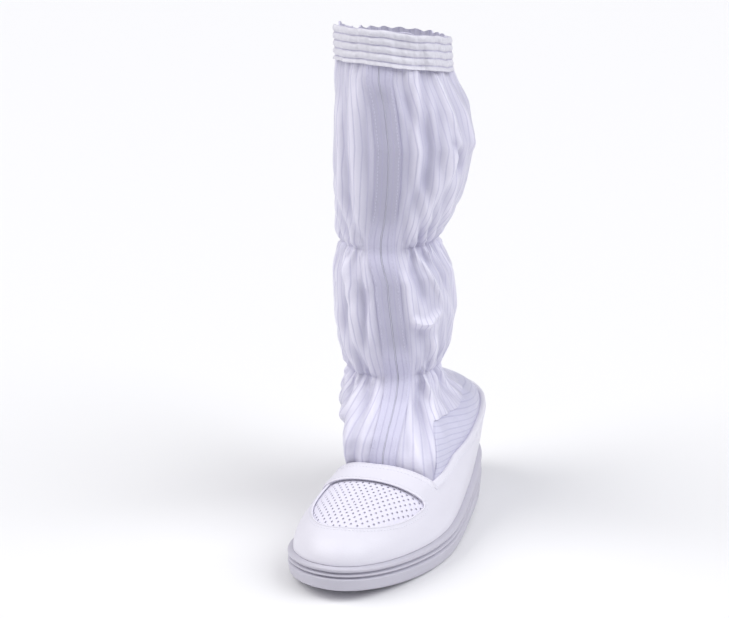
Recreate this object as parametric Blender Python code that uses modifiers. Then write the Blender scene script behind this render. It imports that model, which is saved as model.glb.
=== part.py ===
# A left cleanroom boot: moulded sole, coated upper with a net window, striped cloth leg.
# Metres, +Z up. The toe points to -Y, the outer side is +X, and the sole stands on Z = 0.

import math

import bmesh
import bpy
import numpy as np

# Driving sizes
SOLE_LENGTH = 0.284
GAP = 0.0003
UPPER_WALL = 0.0020
NET_WALL = 0.0008
STRAP_WALL = 0.0014
BINDING_WALL = 0.0010
CLOTH_WALL = 0.0010
ELASTIC_WALL = 0.0010
ELASTIC_CLEAR = 0.0007
SAME_POINT = 1e-6
SHARP_ANGLE = 40
SLOPE_STEP = 0.001

# Grid counts
AROUND = 64
HALF_AROUND = AROUND // 2
UPPER_LEVELS = 10
COLLAR_LEVEL = 5
BACK_LINES = 17

# The sole by its stations. u runs from the heel's back (0) to the toe's tip (1).
SOLE_COLUMNS = ("u", "inner", "outer", "lift", "top")
SOLE_STATIONS = (
    (0.00, 0.0000, 0.0000, 0.0000, 0.0330),
    (0.06, -0.0255, 0.0245, 0.0000, 0.0330),
    (0.14, -0.0355, 0.0360, 0.0000, 0.0328),
    (0.25, -0.0365, 0.0435, 0.0000, 0.0312),
    (0.35, -0.0338, 0.0478, 0.0012, 0.0284),
    (0.45, -0.0320, 0.0507, 0.0020, 0.0252),
    (0.55, -0.0350, 0.0528, 0.0008, 0.0222),
    (0.65, -0.0430, 0.0526, 0.0000, 0.0200),
    (0.73, -0.0495, 0.0486, 0.0000, 0.0194),
    (0.82, -0.0515, 0.0402, 0.0014, 0.0202),
    (0.90, -0.0450, 0.0294, 0.0039, 0.0219),
    (0.96, -0.0315, 0.0168, 0.0065, 0.0239),
    (1.00, -0.0046, -0.0046, 0.0087, 0.0258),
)

# The side of the sole from its top edge (0) to its bottom edge (1): bead, groove, rib, groove, rib, band.
# Each row is the share of the way down and how far the side stands out there.
SIDE_STEPS = (
    (0.00, -0.0030),
    (0.04, -0.0006),
    (0.17, -0.0003),
    (0.26, -0.0026),
    (0.33, -0.0004),
    (0.43, -0.0026),
    (0.51, -0.0002),
    (0.90, -0.0014),
    (1.00, -0.0036),
)
SEAT_INSET = 0.0075
BED_INSET = 0.0082
BED_DEPTH = 0.0030
INSOLE_INSET = 0.0088
INSOLE_THICKNESS = 0.0032
INNER_RINGS = (0.0,)
CENTRE_LINE_SHARE = 0.74

# The lugs are what the channels leave: each channel runs across, inside a plain border.
CHANNEL_WIDTH = 0.0034
CHANNEL_DEPTH = 0.0024
CHANNEL_PITCH = 0.0118
CHANNEL_BORDER = 0.0105
FOREFOOT_CHANNELS = (0.575, 9)
HEEL_CHANNELS = (0.060, 5)

# The last's ridge: its place and height over the stations.
FEATHER_INSET = 0.0040
RIDGE_COLUMNS = ("u", "x", "z")
RIDGE_STATIONS = (
    (0.15, 0.0000, 0.1500),
    (0.30, -0.0030, 0.1300),
    (0.42, -0.0060, 0.0980),
    (0.50, -0.0070, 0.0740),
    (0.58, -0.0070, 0.0610),
    (0.66, -0.0080, 0.0565),
    (0.74, -0.0095, 0.0525),
    (0.82, -0.0100, 0.0475),
)
# Where each station's wall meets the ridge.
CROWN_COLUMNS = ("u", "ridge")
CROWN_STATIONS = (
    (0.00, 0.190),
    (0.30, 0.360),
    (0.59, 0.612),
    (0.68, 0.685),
    (1.00, 0.790),
)
DOME_POWER = 2.1

# The upper's walls over the stations. lean is 1 for a wall that follows the dome and less for one that
# stands up, and flare is how far the wall stands out over the feather edge.
WALL_COLUMNS = ("u", "inner_lean", "outer_lean", "inner_flare", "outer_flare")
WALL_STATIONS = (
    (0.00, 0.30, 0.30, 0.0055, 0.0055),
    (0.35, 0.30, 0.30, 0.0055, 0.0055),
    (0.50, 0.30, 0.60, 0.0050, 0.0030),
    (0.62, 0.30, 1.00, 0.0050, 0.0000),
    (0.74, 0.75, 1.00, 0.0020, 0.0000),
    (0.86, 1.00, 1.00, 0.0000, 0.0000),
    (1.00, 1.00, 1.00, 0.0000, 0.0000),
)

# The collar's height over the stations, from the heel's back to the strap.
COLLAR_COLUMNS = ("u", "z")
COLLAR_STATIONS = (
    (0.00, 0.0730),
    (0.14, 0.0730),
    (0.32, 0.0690),
    (0.43, 0.0615),
    (0.51, 0.0555),
    (0.59, 0.0500),
)
COLLAR_SHARE_MOST = 0.5
THROAT_STATION = 0.585
STRAP_CELLS = 2
BINDING_START = 0.06

# The window of the toe, seen from above: a D with its straight side along the strap.
WINDOW_TOP = -0.0515
WINDOW_MIDDLE = -0.0005
WINDOW_HALF_WIDTH = 0.0365
WINDOW_DEPTH = 0.0660
WINDOW_LEAN = -0.0080
WINDOW_CORNER = 0.0060
WINDOW_STEPS = 18
WINDOW_CUT_FROM = 0.028
WINDOW_CUT_TO = 0.100

# The leg by its rings above the collar. The gathers pinch it, and the cloth puffs between them.
LEG_COLUMNS = ("z", "x", "y", "half_x", "half_y", "pleat", "tilt", "turn")
LEG_RINGS = (
    (0.1070, -0.0160, 0.0420, 0.0335, 0.0400, 0.0012, 0.02, 24),
    (0.1120, -0.0165, 0.0425, 0.0318, 0.0385, 0.0016, 0.02, 25),
    (0.1170, -0.0165, 0.0430, 0.0338, 0.0405, 0.0014, 0.02, 24),
    (0.1300, -0.0165, 0.0440, 0.0400, 0.0465, 0.0008, 0.02, 20),
    (0.1550, -0.0160, 0.0455, 0.0437, 0.0508, 0.0004, 0.02, 15),
    (0.1860, -0.0175, 0.0465, 0.0426, 0.0501, 0.0006, 0.02, 12),
    (0.2020, -0.0210, 0.0475, 0.0362, 0.0440, 0.0014, 0.02, 10),
    (0.2070, -0.0215, 0.0475, 0.0340, 0.0420, 0.0016, 0.02, 10),
    (0.2120, -0.0210, 0.0480, 0.0362, 0.0445, 0.0014, 0.02, 10),
    (0.2280, -0.0170, 0.0480, 0.0425, 0.0500, 0.0008, 0.02, 9),
    (0.2520, -0.0120, 0.0480, 0.0480, 0.0550, 0.0003, 0.02, 7),
    (0.2820, -0.0085, 0.0480, 0.0505, 0.0570, 0.0003, 0.03, 5),
    (0.3080, -0.0115, 0.0480, 0.0475, 0.0535, 0.0004, 0.05, 4),
    (0.3280, -0.0160, 0.0480, 0.0425, 0.0485, 0.0008, 0.07, 3),
    (0.3390, -0.0175, 0.0480, 0.0400, 0.0455, 0.0012, 0.08, 2),
    (0.3500, -0.0180, 0.0480, 0.0390, 0.0440, 0.0014, 0.08, 2),
)
TUCK_DEPTH = 0.0055
TUCK_CLEAR = 0.0014
COLLAR_CLEAR = 0.0007
LOWER_LEVELS = 4
THROAT_GAP = 0.0009
FRONT_SHIFT = 0.0050
PUFF_POWER = 1.5

# How far the cloth puffs out between the collar and the ankle's gather, round from the front.
PUFF_COLUMNS = ("around", "out")
PUFF_STATIONS = (
    (0.00, 0.0060),
    (0.25, 0.0050),
    (0.50, 0.0110),
    (0.72, 0.0150),
    (0.88, 0.0150),
    (1.00, 0.0060),
)
# The leg's cloth is in three sections, sewn together at the narrowest ring of each gather. Each row is
# a section's name and its lowest and highest ring. The lowest section starts inside the collar.
LEG_SECTIONS = (
    ("shaft_ankle", None, 1),
    ("shaft_shin", 1, 7),
    ("shaft_calf", 7, 15),
)
SEAM_ROW = 4
PANEL_LINE = 8
ANKLE_RINGS = (0, 2)
CALF_RINGS = (6, 8)
HEM_RINGS = (14, 15)
HEM_WALL = 0.0012
HEM_RISE = 0.0060
BAND_RINGS = (13, 15)
BAND_RISE = 0.0040
BAND_WALL = 0.0012
BAND_ENDS = (-9, 12)
ZIP_HALF = 0.0022
ZIP_TOP_RING = 13
ZIP_LINES = 1
FACING_START = 2
NET_LOW_ROW = 4
FRONT_LINES = (0.0, ZIP_HALF, ZIP_HALF + GAP, 0.0068, 0.0110)
FACING_LINE = len(FRONT_LINES) - 1
LEG_SIDE = FACING_LINE + BACK_LINES
LEG_AROUND = 2 * LEG_SIDE


def through(places, values, at):
    """A smooth curve through a table's values, read at the places asked for."""
    places = np.asarray(places, float)
    values = np.asarray(values, float)
    at = np.clip(np.asarray(at, float), places[0], places[-1])
    slopes = np.gradient(values, places)
    index = np.clip(np.searchsorted(places, at, side="right") - 1, 0, len(places) - 2)
    width = places[index + 1] - places[index]
    t = (at - places[index]) / width
    start = (1 + 2 * t) * (1 - t) ** 2 * values[index] + t * (1 - t) ** 2 * width * slopes[index]
    end = t**2 * (3 - 2 * t) * values[index + 1] + t**2 * (t - 1) * width * slopes[index + 1]
    return start + end


def column(rows, names, name):
    return np.array([row[names.index(name)] for row in rows])


def read(rows, names, name, at):
    return through(column(rows, names, names[0]), column(rows, names, name), at)


def turned(u):
    """Stations spread so that the round ends of an outline stay round."""
    return np.arccos(np.clip(1 - 2 * np.asarray(u, float), -1, 1)) / math.pi


def ring_stations():
    """The station of each point of a ring: heel, inner side, toe, outer side."""
    share = np.arange(AROUND) / HALF_AROUND
    return (1 - np.cos(math.pi * share)) / 2


def outline_ring(out=0.0):
    """The sole's outline seen from above, moved outwards by the amount given."""
    u = ring_stations()
    turns = turned(column(SOLE_STATIONS, SOLE_COLUMNS, "u"))
    outer = through(turns, column(SOLE_STATIONS, SOLE_COLUMNS, "outer"), turned(u))
    inner = through(turns, column(SOLE_STATIONS, SOLE_COLUMNS, "inner"), turned(u))
    on_outer = np.arange(AROUND) > HALF_AROUND
    points = np.stack([np.where(on_outer, outer, inner), station_y(u)], axis=1)
    along = np.roll(points, -1, axis=0) - np.roll(points, 1, axis=0)
    along /= np.linalg.norm(along, axis=1)[:, None]
    normals = np.stack([along[:, 1], -along[:, 0]], axis=1)
    return points + out * normals


def station_y(u):
    return SOLE_LENGTH * (0.5 - np.asarray(u, float))


def station_u(y):
    return 0.5 - np.asarray(y, float) / SOLE_LENGTH


def sole_height(name, y):
    """A height of the sole at a place along it. No point of it lies under the floor."""
    return np.maximum(read(SOLE_STATIONS, SOLE_COLUMNS, name, station_u(y)), 0.0)


def sole_side(name, y):
    return read(SOLE_STATIONS, SOLE_COLUMNS, name, station_u(y))


def middle_x(y):
    return (sole_side("inner", y) + sole_side("outer", y)) / 2


def shrunk(ring, share):
    """The ring drawn in towards the sole's middle line."""
    line_y = station_y(ring_stations()) * CENTRE_LINE_SHARE
    line = np.stack([middle_x(line_y), line_y], axis=1)
    return line + share * (ring - line)


def raised(ring, heights):
    return np.column_stack([ring, heights])


def normals_of(grid, wraps=True):
    """Unit normals of a grid of points, outwards where the columns run anticlockwise from above."""
    around = np.roll(grid, -1, axis=1) - np.roll(grid, 1, axis=1)
    if not wraps:
        around = np.gradient(grid, axis=1)
    upwards = np.gradient(grid, axis=0)
    normals = np.cross(around, upwards)
    length = np.linalg.norm(normals, axis=2, keepdims=True)
    return normals / np.maximum(length, 1e-12)


def new_object(name, mesh_data, look):
    mesh = bpy.data.meshes.new(name)
    mesh_data.to_mesh(mesh)
    mesh_data.free()
    mesh.materials.append(look)
    mesh.shade_smooth()
    mesh.set_sharp_from_angle(angle=math.radians(SHARP_ANGLE))
    piece = bpy.data.objects.new(name, mesh)
    boot.objects.link(piece)
    return piece


def sheet_from_grid(grid, keep, wraps):
    """A bmesh of the grid's kept cells. keep[row][column] belongs to the cell above and beside a point."""
    data = bmesh.new()
    rows, columns = grid.shape[:2]
    verts = {}

    def vert(row, col):
        key = (row, col % columns)
        if key not in verts:
            verts[key] = data.verts.new(grid[key])
        return verts[key]

    for row in range(rows - 1):
        for col in range(columns if wraps else columns - 1):
            if keep[row, col]:
                corners = (vert(row, col), vert(row, col + 1), vert(row + 1, col + 1), vert(row + 1, col))
                data.faces.new(corners)
    return data


def shell(name, grid, look, wall, inwards, keep=None, wraps=True):
    """A wall of even thickness on one side of the grid's kept cells."""
    if keep is None:
        keep = np.ones(grid.shape[:2], bool)
    data = sheet_from_grid(grid, keep, wraps)
    bmesh.ops.remove_doubles(data, verts=data.verts, dist=SAME_POINT)
    piece = new_object(name, data, look)
    thicken = piece.modifiers.new("Wall", "SOLIDIFY")
    thicken.thickness = wall
    thicken.offset = -1 if inwards else 1
    thicken.use_even_offset = False
    return piece


def closed_rings(name, rings, look):
    """A closed solid from rings that start and end on the same middle line."""
    data = sheet_from_grid(np.array(rings), np.ones((len(rings), AROUND), bool), True)
    bmesh.ops.remove_doubles(data, verts=data.verts, dist=SAME_POINT)
    bmesh.ops.recalc_face_normals(data, faces=data.faces)
    return new_object(name, data, look)


def material(name, colour, roughness, coat=0.0):
    look = bpy.data.materials.new(name)
    look.use_nodes = True
    shader = look.node_tree.nodes["Principled BSDF"]
    shader.inputs["Base Color"].default_value = (*colour, 1)
    shader.inputs["Roughness"].default_value = roughness
    shader.inputs["Coat Weight"].default_value = coat
    shader.inputs["Metallic"].default_value = 0.0
    return look


def new_cutter(name, data):
    mesh = bpy.data.meshes.new(name)
    data.to_mesh(mesh)
    data.free()
    cutter = bpy.data.objects.new(name, mesh)
    cutters.objects.link(cutter)
    cutter.hide_render = True
    cutter.display_type = "WIRE"
    return cutter


def cut(piece, cutter):
    difference = piece.modifiers.new("Cut " + cutter.name, "BOOLEAN")
    difference.operation = "DIFFERENCE"
    difference.solver = "EXACT"
    difference.object = cutter


def side_rings():
    """The rings of the sole's side, from the top edge down."""
    rings = []
    for share, out in SIDE_STEPS:
        ring = outline_ring(out)
        top = sole_height("top", ring[:, 1])
        bottom = sole_height("lift", ring[:, 1])
        rings.append(raised(ring, top + share * (bottom - top)))
    return rings


def make_outsole():
    seat = outline_ring(-SEAT_INSET)
    bed = outline_ring(-BED_INSET)
    rings = []
    for share in reversed(INNER_RINGS):
        ring = shrunk(bed, share)
        rings.append(raised(ring, sole_height("top", ring[:, 1]) - BED_DEPTH))
    rings.append(raised(bed, sole_height("top", bed[:, 1]) - BED_DEPTH))
    rings.append(raised(seat, sole_height("top", seat[:, 1])))
    rings.extend(side_rings())
    lowest = rings[-1][:, :2]
    for share in INNER_RINGS:
        ring = shrunk(lowest, share)
        rings.append(raised(ring, sole_height("lift", ring[:, 1])))
    outsole = closed_rings("outsole", rings, sole_look)
    cut(outsole, channel_cutter())
    return outsole


def channel_cutter():
    """All the channels of the tread as one cutter, each as long as the sole is wide there."""
    data = bmesh.new()
    for first, count in (FOREFOOT_CHANNELS, HEEL_CHANNELS):
        for index in range(count):
            y = station_y(first) - index * CHANNEL_PITCH
            inner = float(sole_side("inner", y)) + CHANNEL_BORDER
            outer = float(sole_side("outer", y)) - CHANNEL_BORDER
            made = bmesh.ops.create_cube(data, size=1)["verts"]
            bmesh.ops.scale(data, vec=(outer - inner, CHANNEL_WIDTH, 2 * CHANNEL_DEPTH), verts=made)
            place = ((inner + outer) / 2, y, float(sole_height("lift", y)))
            bmesh.ops.translate(data, vec=place, verts=made)
    return new_cutter("tread channels", data)


def make_insole():
    edge = outline_ring(-INSOLE_INSET)
    low = sole_height("top", edge[:, 1]) - BED_DEPTH + GAP
    rings = []
    for share in reversed(INNER_RINGS):
        ring = shrunk(edge, share)
        rings.append(raised(ring, sole_height("top", ring[:, 1]) - BED_DEPTH + GAP + INSOLE_THICKNESS))
    rings.append(raised(edge, low + INSOLE_THICKNESS))
    rings.append(raised(edge, low))
    for share in INNER_RINGS:
        ring = shrunk(edge, share)
        rings.append(raised(ring, sole_height("top", ring[:, 1]) - BED_DEPTH + GAP))
    return closed_rings("insole", rings, insole_look)


def feather_ring():
    ring = outline_ring(-FEATHER_INSET)
    return raised(ring, sole_height("top", ring[:, 1]) + GAP)


def ridge_ring():
    u = read(CROWN_STATIONS, CROWN_COLUMNS, "ridge", ring_stations())
    x = read(RIDGE_STATIONS, RIDGE_COLUMNS, "x", u)
    z = read(RIDGE_STATIONS, RIDGE_COLUMNS, "z", u)
    return np.column_stack([x, station_y(u), z])


def dome(share):
    """How far a point at this share of the way up lies in plan and in height, on a squarish dome."""
    angle = share * math.pi / 2
    power = 2 / DOME_POWER
    return 1 - np.cos(angle) ** power, np.sin(angle) ** power


def share_at_height(feather, ridge, height):
    rise = np.clip((height - feather[:, 2]) / (ridge[:, 2] - feather[:, 2]), 0, 1)
    return np.arcsin(rise ** (DOME_POWER / 2)) / (math.pi / 2)


def wall_value(name):
    """A value of the wall table for each point of a ring, by its side."""
    inner = read(WALL_STATIONS, WALL_COLUMNS, "inner_" + name, ring_stations())
    outer = read(WALL_STATIONS, WALL_COLUMNS, "outer_" + name, ring_stations())
    return np.where(np.arange(AROUND) > HALF_AROUND, outer, inner)


def last_grid():
    """The last's outer surface: rows from the feather edge to the ridge, with one row on the collar."""
    feather = feather_ring()
    ridge = ridge_ring()
    collar = read(COLLAR_STATIONS, COLLAR_COLUMNS, "z", ring_stations())
    collar_share = np.minimum(share_at_height(feather, ridge, collar), COLLAR_SHARE_MOST)
    lean = wall_value("lean")
    flare = wall_value("flare")[:, None]
    outwards = (outline_ring(0.0) - outline_ring(-FEATHER_INSET)) / FEATHER_INSET
    rows = []
    for level in range(UPPER_LEVELS + 1):
        above = max(level - COLLAR_LEVEL, 0) / (UPPER_LEVELS - COLLAR_LEVEL)
        below = min(level / COLLAR_LEVEL, 1)
        share = collar_share * below + (1 - collar_share) * above
        inwards, upwards = dome(share)
        inwards = inwards * (lean + (1 - lean) * inwards)
        standing_out = math.sin(math.pi / 2 * below) * math.cos(math.pi / 2 * above)
        plan = feather[:, :2] + (ridge[:, :2] - feather[:, :2]) * inwards[:, None]
        plan = plan + flare * standing_out * outwards
        height = feather[:, 2] + (ridge[:, 2] - feather[:, 2]) * upwards
        rows.append(np.column_stack([plan, height]))
    return np.array(rows)


def last_normals_of(grid):
    """The last's normals. On the ridge they lean only with its slope, so that both sides agree."""
    normals = normals_of(grid)
    u = station_u(grid[-1][:, 1])
    ahead = read(RIDGE_STATIONS, RIDGE_COLUMNS, "z", u + SLOPE_STEP)
    behind = read(RIDGE_STATIONS, RIDGE_COLUMNS, "z", u - SLOPE_STEP)
    slope = (behind - ahead) / (2 * SLOPE_STEP * SOLE_LENGTH)
    normals[-1] = unit(np.column_stack([np.zeros(AROUND), -slope, np.ones(AROUND)]))
    return normals


def throat_columns():
    """The first and last ring columns of the vamp, in front of the throat."""
    u = ring_stations()
    first = int(np.argmax(u >= THROAT_STATION))
    return first, AROUND - first


def upper_keep():
    keep = np.zeros((UPPER_LEVELS + 1, AROUND), bool)
    first, last = throat_columns()
    keep[:COLLAR_LEVEL, :] = True
    keep[:, first:last] = True
    return keep


def make_upper(grid):
    upper = shell("upper", grid, upper_look, UPPER_WALL, inwards=True, keep=upper_keep())
    cut(upper, window_cutter())
    return upper


def window_outline():
    """The D: its straight side with rounded corners, and an arc that leans to the inner side."""
    points = []
    for step in range(WINDOW_STEPS + 1):
        angle = math.pi * step / WINDOW_STEPS
        reach = math.sin(angle)
        across = WINDOW_MIDDLE + WINDOW_HALF_WIDTH * math.cos(angle) + WINDOW_LEAN * reach
        points.append((across, WINDOW_TOP - WINDOW_CORNER - (WINDOW_DEPTH - WINDOW_CORNER) * reach))
    inset = WINDOW_HALF_WIDTH - WINDOW_CORNER
    points.append((WINDOW_MIDDLE - inset, WINDOW_TOP))
    points.append((WINDOW_MIDDLE + inset, WINDOW_TOP))
    return points


def window_cutter():
    data = bmesh.new()
    low = [data.verts.new((x, y, WINDOW_CUT_FROM)) for x, y in window_outline()]
    face = data.faces.new(low)
    raised_part = bmesh.ops.extrude_face_region(data, geom=[face])
    tops = [item for item in raised_part["geom"] if isinstance(item, bmesh.types.BMVert)]
    bmesh.ops.translate(data, vec=(0, 0, WINDOW_CUT_TO - WINDOW_CUT_FROM), verts=tops)
    bmesh.ops.recalc_face_normals(data, faces=data.faces)
    return new_cutter("toe window", data)


def make_strap(grid, normals):
    first, last = throat_columns()
    keep = np.zeros(grid.shape[:2], bool)
    keep[COLLAR_LEVEL - 1:UPPER_LEVELS, first:first + STRAP_CELLS] = True
    keep[COLLAR_LEVEL - 1:UPPER_LEVELS, last - STRAP_CELLS:last] = True
    return shell("instep_strap", grid + GAP * normals, upper_look, STRAP_WALL, inwards=False, keep=keep)


def make_binding(grid, normals):
    first, last = throat_columns()
    keep = np.zeros(grid.shape[:2], bool)
    keep[COLLAR_LEVEL - 1, :first] = True
    keep[COLLAR_LEVEL - 1, last:] = True
    outside = grid + GAP * normals
    for end, following in ((first, first - 1), (last, last + 1)):
        outside[:, end] += BINDING_START * (outside[:, following] - outside[:, end])
    return shell("collar_binding", outside, upper_look, BINDING_WALL, inwards=False, keep=keep)


def leg_angles(half_x):
    """The turn of each line of a ring from the front: fixed widths at the zip, then even steps."""
    front = np.array(FRONT_LINES) / half_x
    back = np.linspace(front[-1], math.pi, BACK_LINES + 1)[1:]
    side = np.concatenate([front, back])
    return np.concatenate([side, -side[-2:0:-1]])


def pleat_wave():
    """Out and in by turns on the lines beside the facings, and nothing on the zip and its facings."""
    line = np.arange(LEG_AROUND)
    from_front = np.minimum(line, LEG_AROUND - line)
    wave = np.where(line % 2 == 0, 1.0, -1.0)
    return np.where(from_front <= FACING_LINE, 0.0, wave)


def leg_ring(index, pleated):
    z, x, y, half_x, half_y, pleat, tilt, turn = LEG_RINGS[index]
    angles = leg_angles(half_x) + math.radians(turn)
    wave = 1 + (pleat * pleat_wave() / half_x if pleated else 0.0)
    across = half_x * np.sin(angles) * wave
    along = y - half_y * np.cos(angles) * wave
    return np.column_stack([x + across, along, z - tilt * across])


def collar_path(grid, normals, drop, clear):
    """The edge inside the upper's wall, from the throat's middle round the outer side and the heel and
    back along the inner side. drop lowers it along the wall, and clear is its distance from the wall."""
    first, last = throat_columns()
    inside = grid - (UPPER_WALL + clear) * normals
    below = inside[COLLAR_LEVEL - 1]
    edge = inside[COLLAR_LEVEL]
    edge = edge + (below - edge) * (drop / (edge[:, 2] - below[:, 2]))[:, None]
    behind = np.array([0, THROAT_GAP, 0])
    throat = inside[COLLAR_LEVEL + 1:] + behind - np.array([0, 0, drop])
    collar = [edge[col % AROUND] for col in range(last + 1, AROUND + first)]
    path = list(throat[::-1, last]) + [edge[last] + behind] + collar + [edge[first] + behind]
    return np.array(path + list(throat[:, first]))


def spaced_along(path):
    """The path's points at the leg's lines, by the way along it from the front line."""
    lengths = np.linalg.norm(np.diff(path, axis=0), axis=1)
    walked = np.concatenate([[0], np.cumsum(lengths)])
    whole = walked[-1]
    back = np.linspace(FRONT_LINES[-1], whole / 2, BACK_LINES + 1)[1:]
    side = np.concatenate([FRONT_LINES, back])
    places = (FRONT_SHIFT + np.concatenate([side, whole - side[-2:0:-1]])) % whole
    return np.column_stack([np.interp(places, walked, path[:, axis]) for axis in range(3)])


def leg_grid(loop, tucked, pleated=True):
    """The leg's outer surface: tucked into the collar, then up through its gathers to the mouth."""
    lowest = leg_ring(0, pleated)
    middle = loop.mean(axis=0)
    outwards = unit(loop[:, :2] - middle[:2])
    around = np.arange(LEG_AROUND) / LEG_AROUND
    puff = read(PUFF_STATIONS, PUFF_COLUMNS, "out", around)
    rows = [tucked, loop]
    for level in range(1, LOWER_LEVELS + 1):
        share = level / (LOWER_LEVELS + 1)
        eased = share * share * (3 - 2 * share)
        row = loop + (lowest - loop) * share
        row[:, :2] = loop[:, :2] + (lowest[:, :2] - loop[:, :2]) * eased
        row[:, :2] += (puff * math.sin(math.pi * share) ** PUFF_POWER)[:, None] * outwards
        rows.append(row)
    rows.extend(leg_ring(index, pleated) for index in range(len(LEG_RINGS)))
    return np.array(rows)


def unit(vectors):
    return vectors / np.linalg.norm(vectors, axis=-1, keepdims=True)


def ring_row(index):
    return 2 + LOWER_LEVELS + index


def lines_between(low, high):
    """A mask of the columns of cells between two lines counted from the front."""
    mask = np.zeros(LEG_AROUND, bool)
    mask[np.arange(low, high) % LEG_AROUND] = True
    return mask


def cells(rows, columns, grid):
    keep = np.zeros(grid.shape[:2], bool)
    keep[rows[0]:rows[1]] = columns
    return keep


def make_shaft(grid):
    """The three sections of the leg. Each one's lowest row lies a gap above the section under it."""
    for name, from_ring, to_ring in LEG_SECTIONS:
        first = 0 if from_ring is None else ring_row(from_ring)
        section = grid[first:ring_row(to_ring) + 1].copy()
        keep = np.ones(section.shape[:2], bool)
        if from_ring is None:
            keep[:SEAM_ROW] = ~lines_between(PANEL_LINE, LEG_AROUND - PANEL_LINE)
        else:
            section[0, :, 2] += GAP
        shell(name, section, cloth_look, CLOTH_WALL, inwards=True, keep=keep)


def make_heel_panel(grid, normals):
    inside = grid - (CLOTH_WALL + GAP) * normals
    keep = cells((0, SEAM_ROW + 1), lines_between(PANEL_LINE, LEG_AROUND - PANEL_LINE), grid)
    return shell("heel_panel", inside, cloth_look, CLOTH_WALL, inwards=True, keep=keep)


def make_zip(grid, normals):
    outside = grid + GAP * normals
    rows = (2, ring_row(ZIP_TOP_RING))
    middle = lines_between(-ZIP_LINES, ZIP_LINES)
    outer = lines_between(FACING_START, FACING_LINE)
    inner = lines_between(-FACING_LINE, -FACING_START)
    shell("front_zip", outside, zip_look, CLOTH_WALL, False, cells(rows, middle, grid))
    shell("zip_facing_outer", outside, cloth_look, CLOTH_WALL, False, cells(rows, outer, grid))
    shell("zip_facing_inner", outside, cloth_look, CLOTH_WALL, False, cells(rows, inner, grid))


def make_elastic(name, grid, normals, rings):
    inside = grid - (CLOTH_WALL + ELASTIC_CLEAR) * normals
    rows = (ring_row(rings[0]), ring_row(rings[1]))
    around = lines_between(FACING_LINE, LEG_AROUND - FACING_LINE)
    return shell(name, inside, elastic_look, ELASTIC_WALL, True, cells(rows, around, grid))


def make_hem(grid, normals):
    """The folded hem stands inside the mouth and rises above the leg's top edge as a ruffle."""
    first, second = (ring_row(index) for index in HEM_RINGS)
    rows = (grid - (CLOTH_WALL + GAP) * normals)[first:second + 1]
    ruffle = rows[-1] + np.array([0, 0, HEM_RISE])
    hem = np.concatenate([rows, ruffle[None]])
    return shell("top_hem", hem, cloth_look, HEM_WALL, inwards=True)


def make_band(loop, tucked):
    """The band lies over the pleats, and its own edge is smooth."""
    smooth = leg_grid(loop, tucked, pleated=False)
    clear = max(row[LEG_COLUMNS.index("pleat")] for row in LEG_RINGS) + GAP
    outside = smooth + clear * normals_of(smooth)
    band = outside[ring_row(BAND_RINGS[0]):ring_row(BAND_RINGS[1]) + 1] + np.array([0, 0, BAND_RISE])
    keep = cells((0, BAND_RINGS[1] - BAND_RINGS[0]), lines_between(*BAND_ENDS), band)
    return shell("closure_band", band, cloth_look, BAND_WALL, inwards=False, keep=keep)


def make_net(grid, normals):
    inside = grid - (UPPER_WALL + GAP) * normals
    first, last = throat_columns()
    keep = np.zeros(grid.shape[:2], bool)
    keep[NET_LOW_ROW:UPPER_LEVELS, first + 1:last - 1] = True
    return shell("toe_net", inside, net_look, NET_WALL, inwards=True, keep=keep)


def centre_on_origin():
    """The origin is the middle of the whole boot's box, on the floor."""
    bpy.context.view_layer.update()
    graph = bpy.context.evaluated_depsgraph_get()
    corners = []
    for piece in boot.objects:
        corners.extend(tuple(corner) for corner in piece.evaluated_get(graph).bound_box)
    middle = (np.min(corners, axis=0) + np.max(corners, axis=0)) / 2
    for piece in list(boot.objects) + list(cutters.objects):
        piece.location = (-middle[0], -middle[1], 0)


def start_scene():
    for thing in list(bpy.data.objects):
        bpy.data.objects.remove(thing)


start_scene()
boot = bpy.data.collections.new("cleanroom boot")
cutters = bpy.data.collections.new("cutters")
bpy.context.scene.collection.children.link(boot)
bpy.context.scene.collection.children.link(cutters)
sole_look = material("moulded sole", (0.80, 0.80, 0.83), 0.42)
insole_look = material("insole cloth", (0.74, 0.75, 0.78), 0.90)
upper_look = material("coated upper", (0.84, 0.84, 0.88), 0.38, coat=0.1)
cloth_look = material("striped cloth", (0.80, 0.80, 0.88), 0.55)
net_look = material("white net", (0.82, 0.83, 0.88), 0.60)
zip_look = material("white zip", (0.80, 0.81, 0.88), 0.40)
elastic_look = material("elastic", (0.82, 0.82, 0.86), 0.80)

last = last_grid()
last_normals = last_normals_of(last)
make_outsole()
make_insole()
make_upper(last)
make_strap(last, last_normals)
make_binding(last, last_normals)
make_net(last, last_normals)
loop = spaced_along(collar_path(last, last_normals, 0.0, COLLAR_CLEAR))
tucked = spaced_along(collar_path(last, last_normals, TUCK_DEPTH, TUCK_CLEAR))
leg = leg_grid(loop, tucked)
leg_normals = normals_of(leg)
make_shaft(leg)
make_heel_panel(leg, leg_normals)
make_zip(leg, leg_normals)
make_elastic("ankle_elastic", leg, leg_normals, ANKLE_RINGS)
make_elastic("calf_elastic", leg, leg_normals, CALF_RINGS)
make_hem(leg, leg_normals)
make_band(loop, tucked)
centre_on_origin()
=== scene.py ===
# Looks of a left cleanroom boot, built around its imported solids. Metres, +Z up, toe to -Y.
import math
import bmesh
import bpy
import numpy as np
from mathutils import Matrix, Vector
from mathutils.bvhtree import BVHTree


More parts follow.
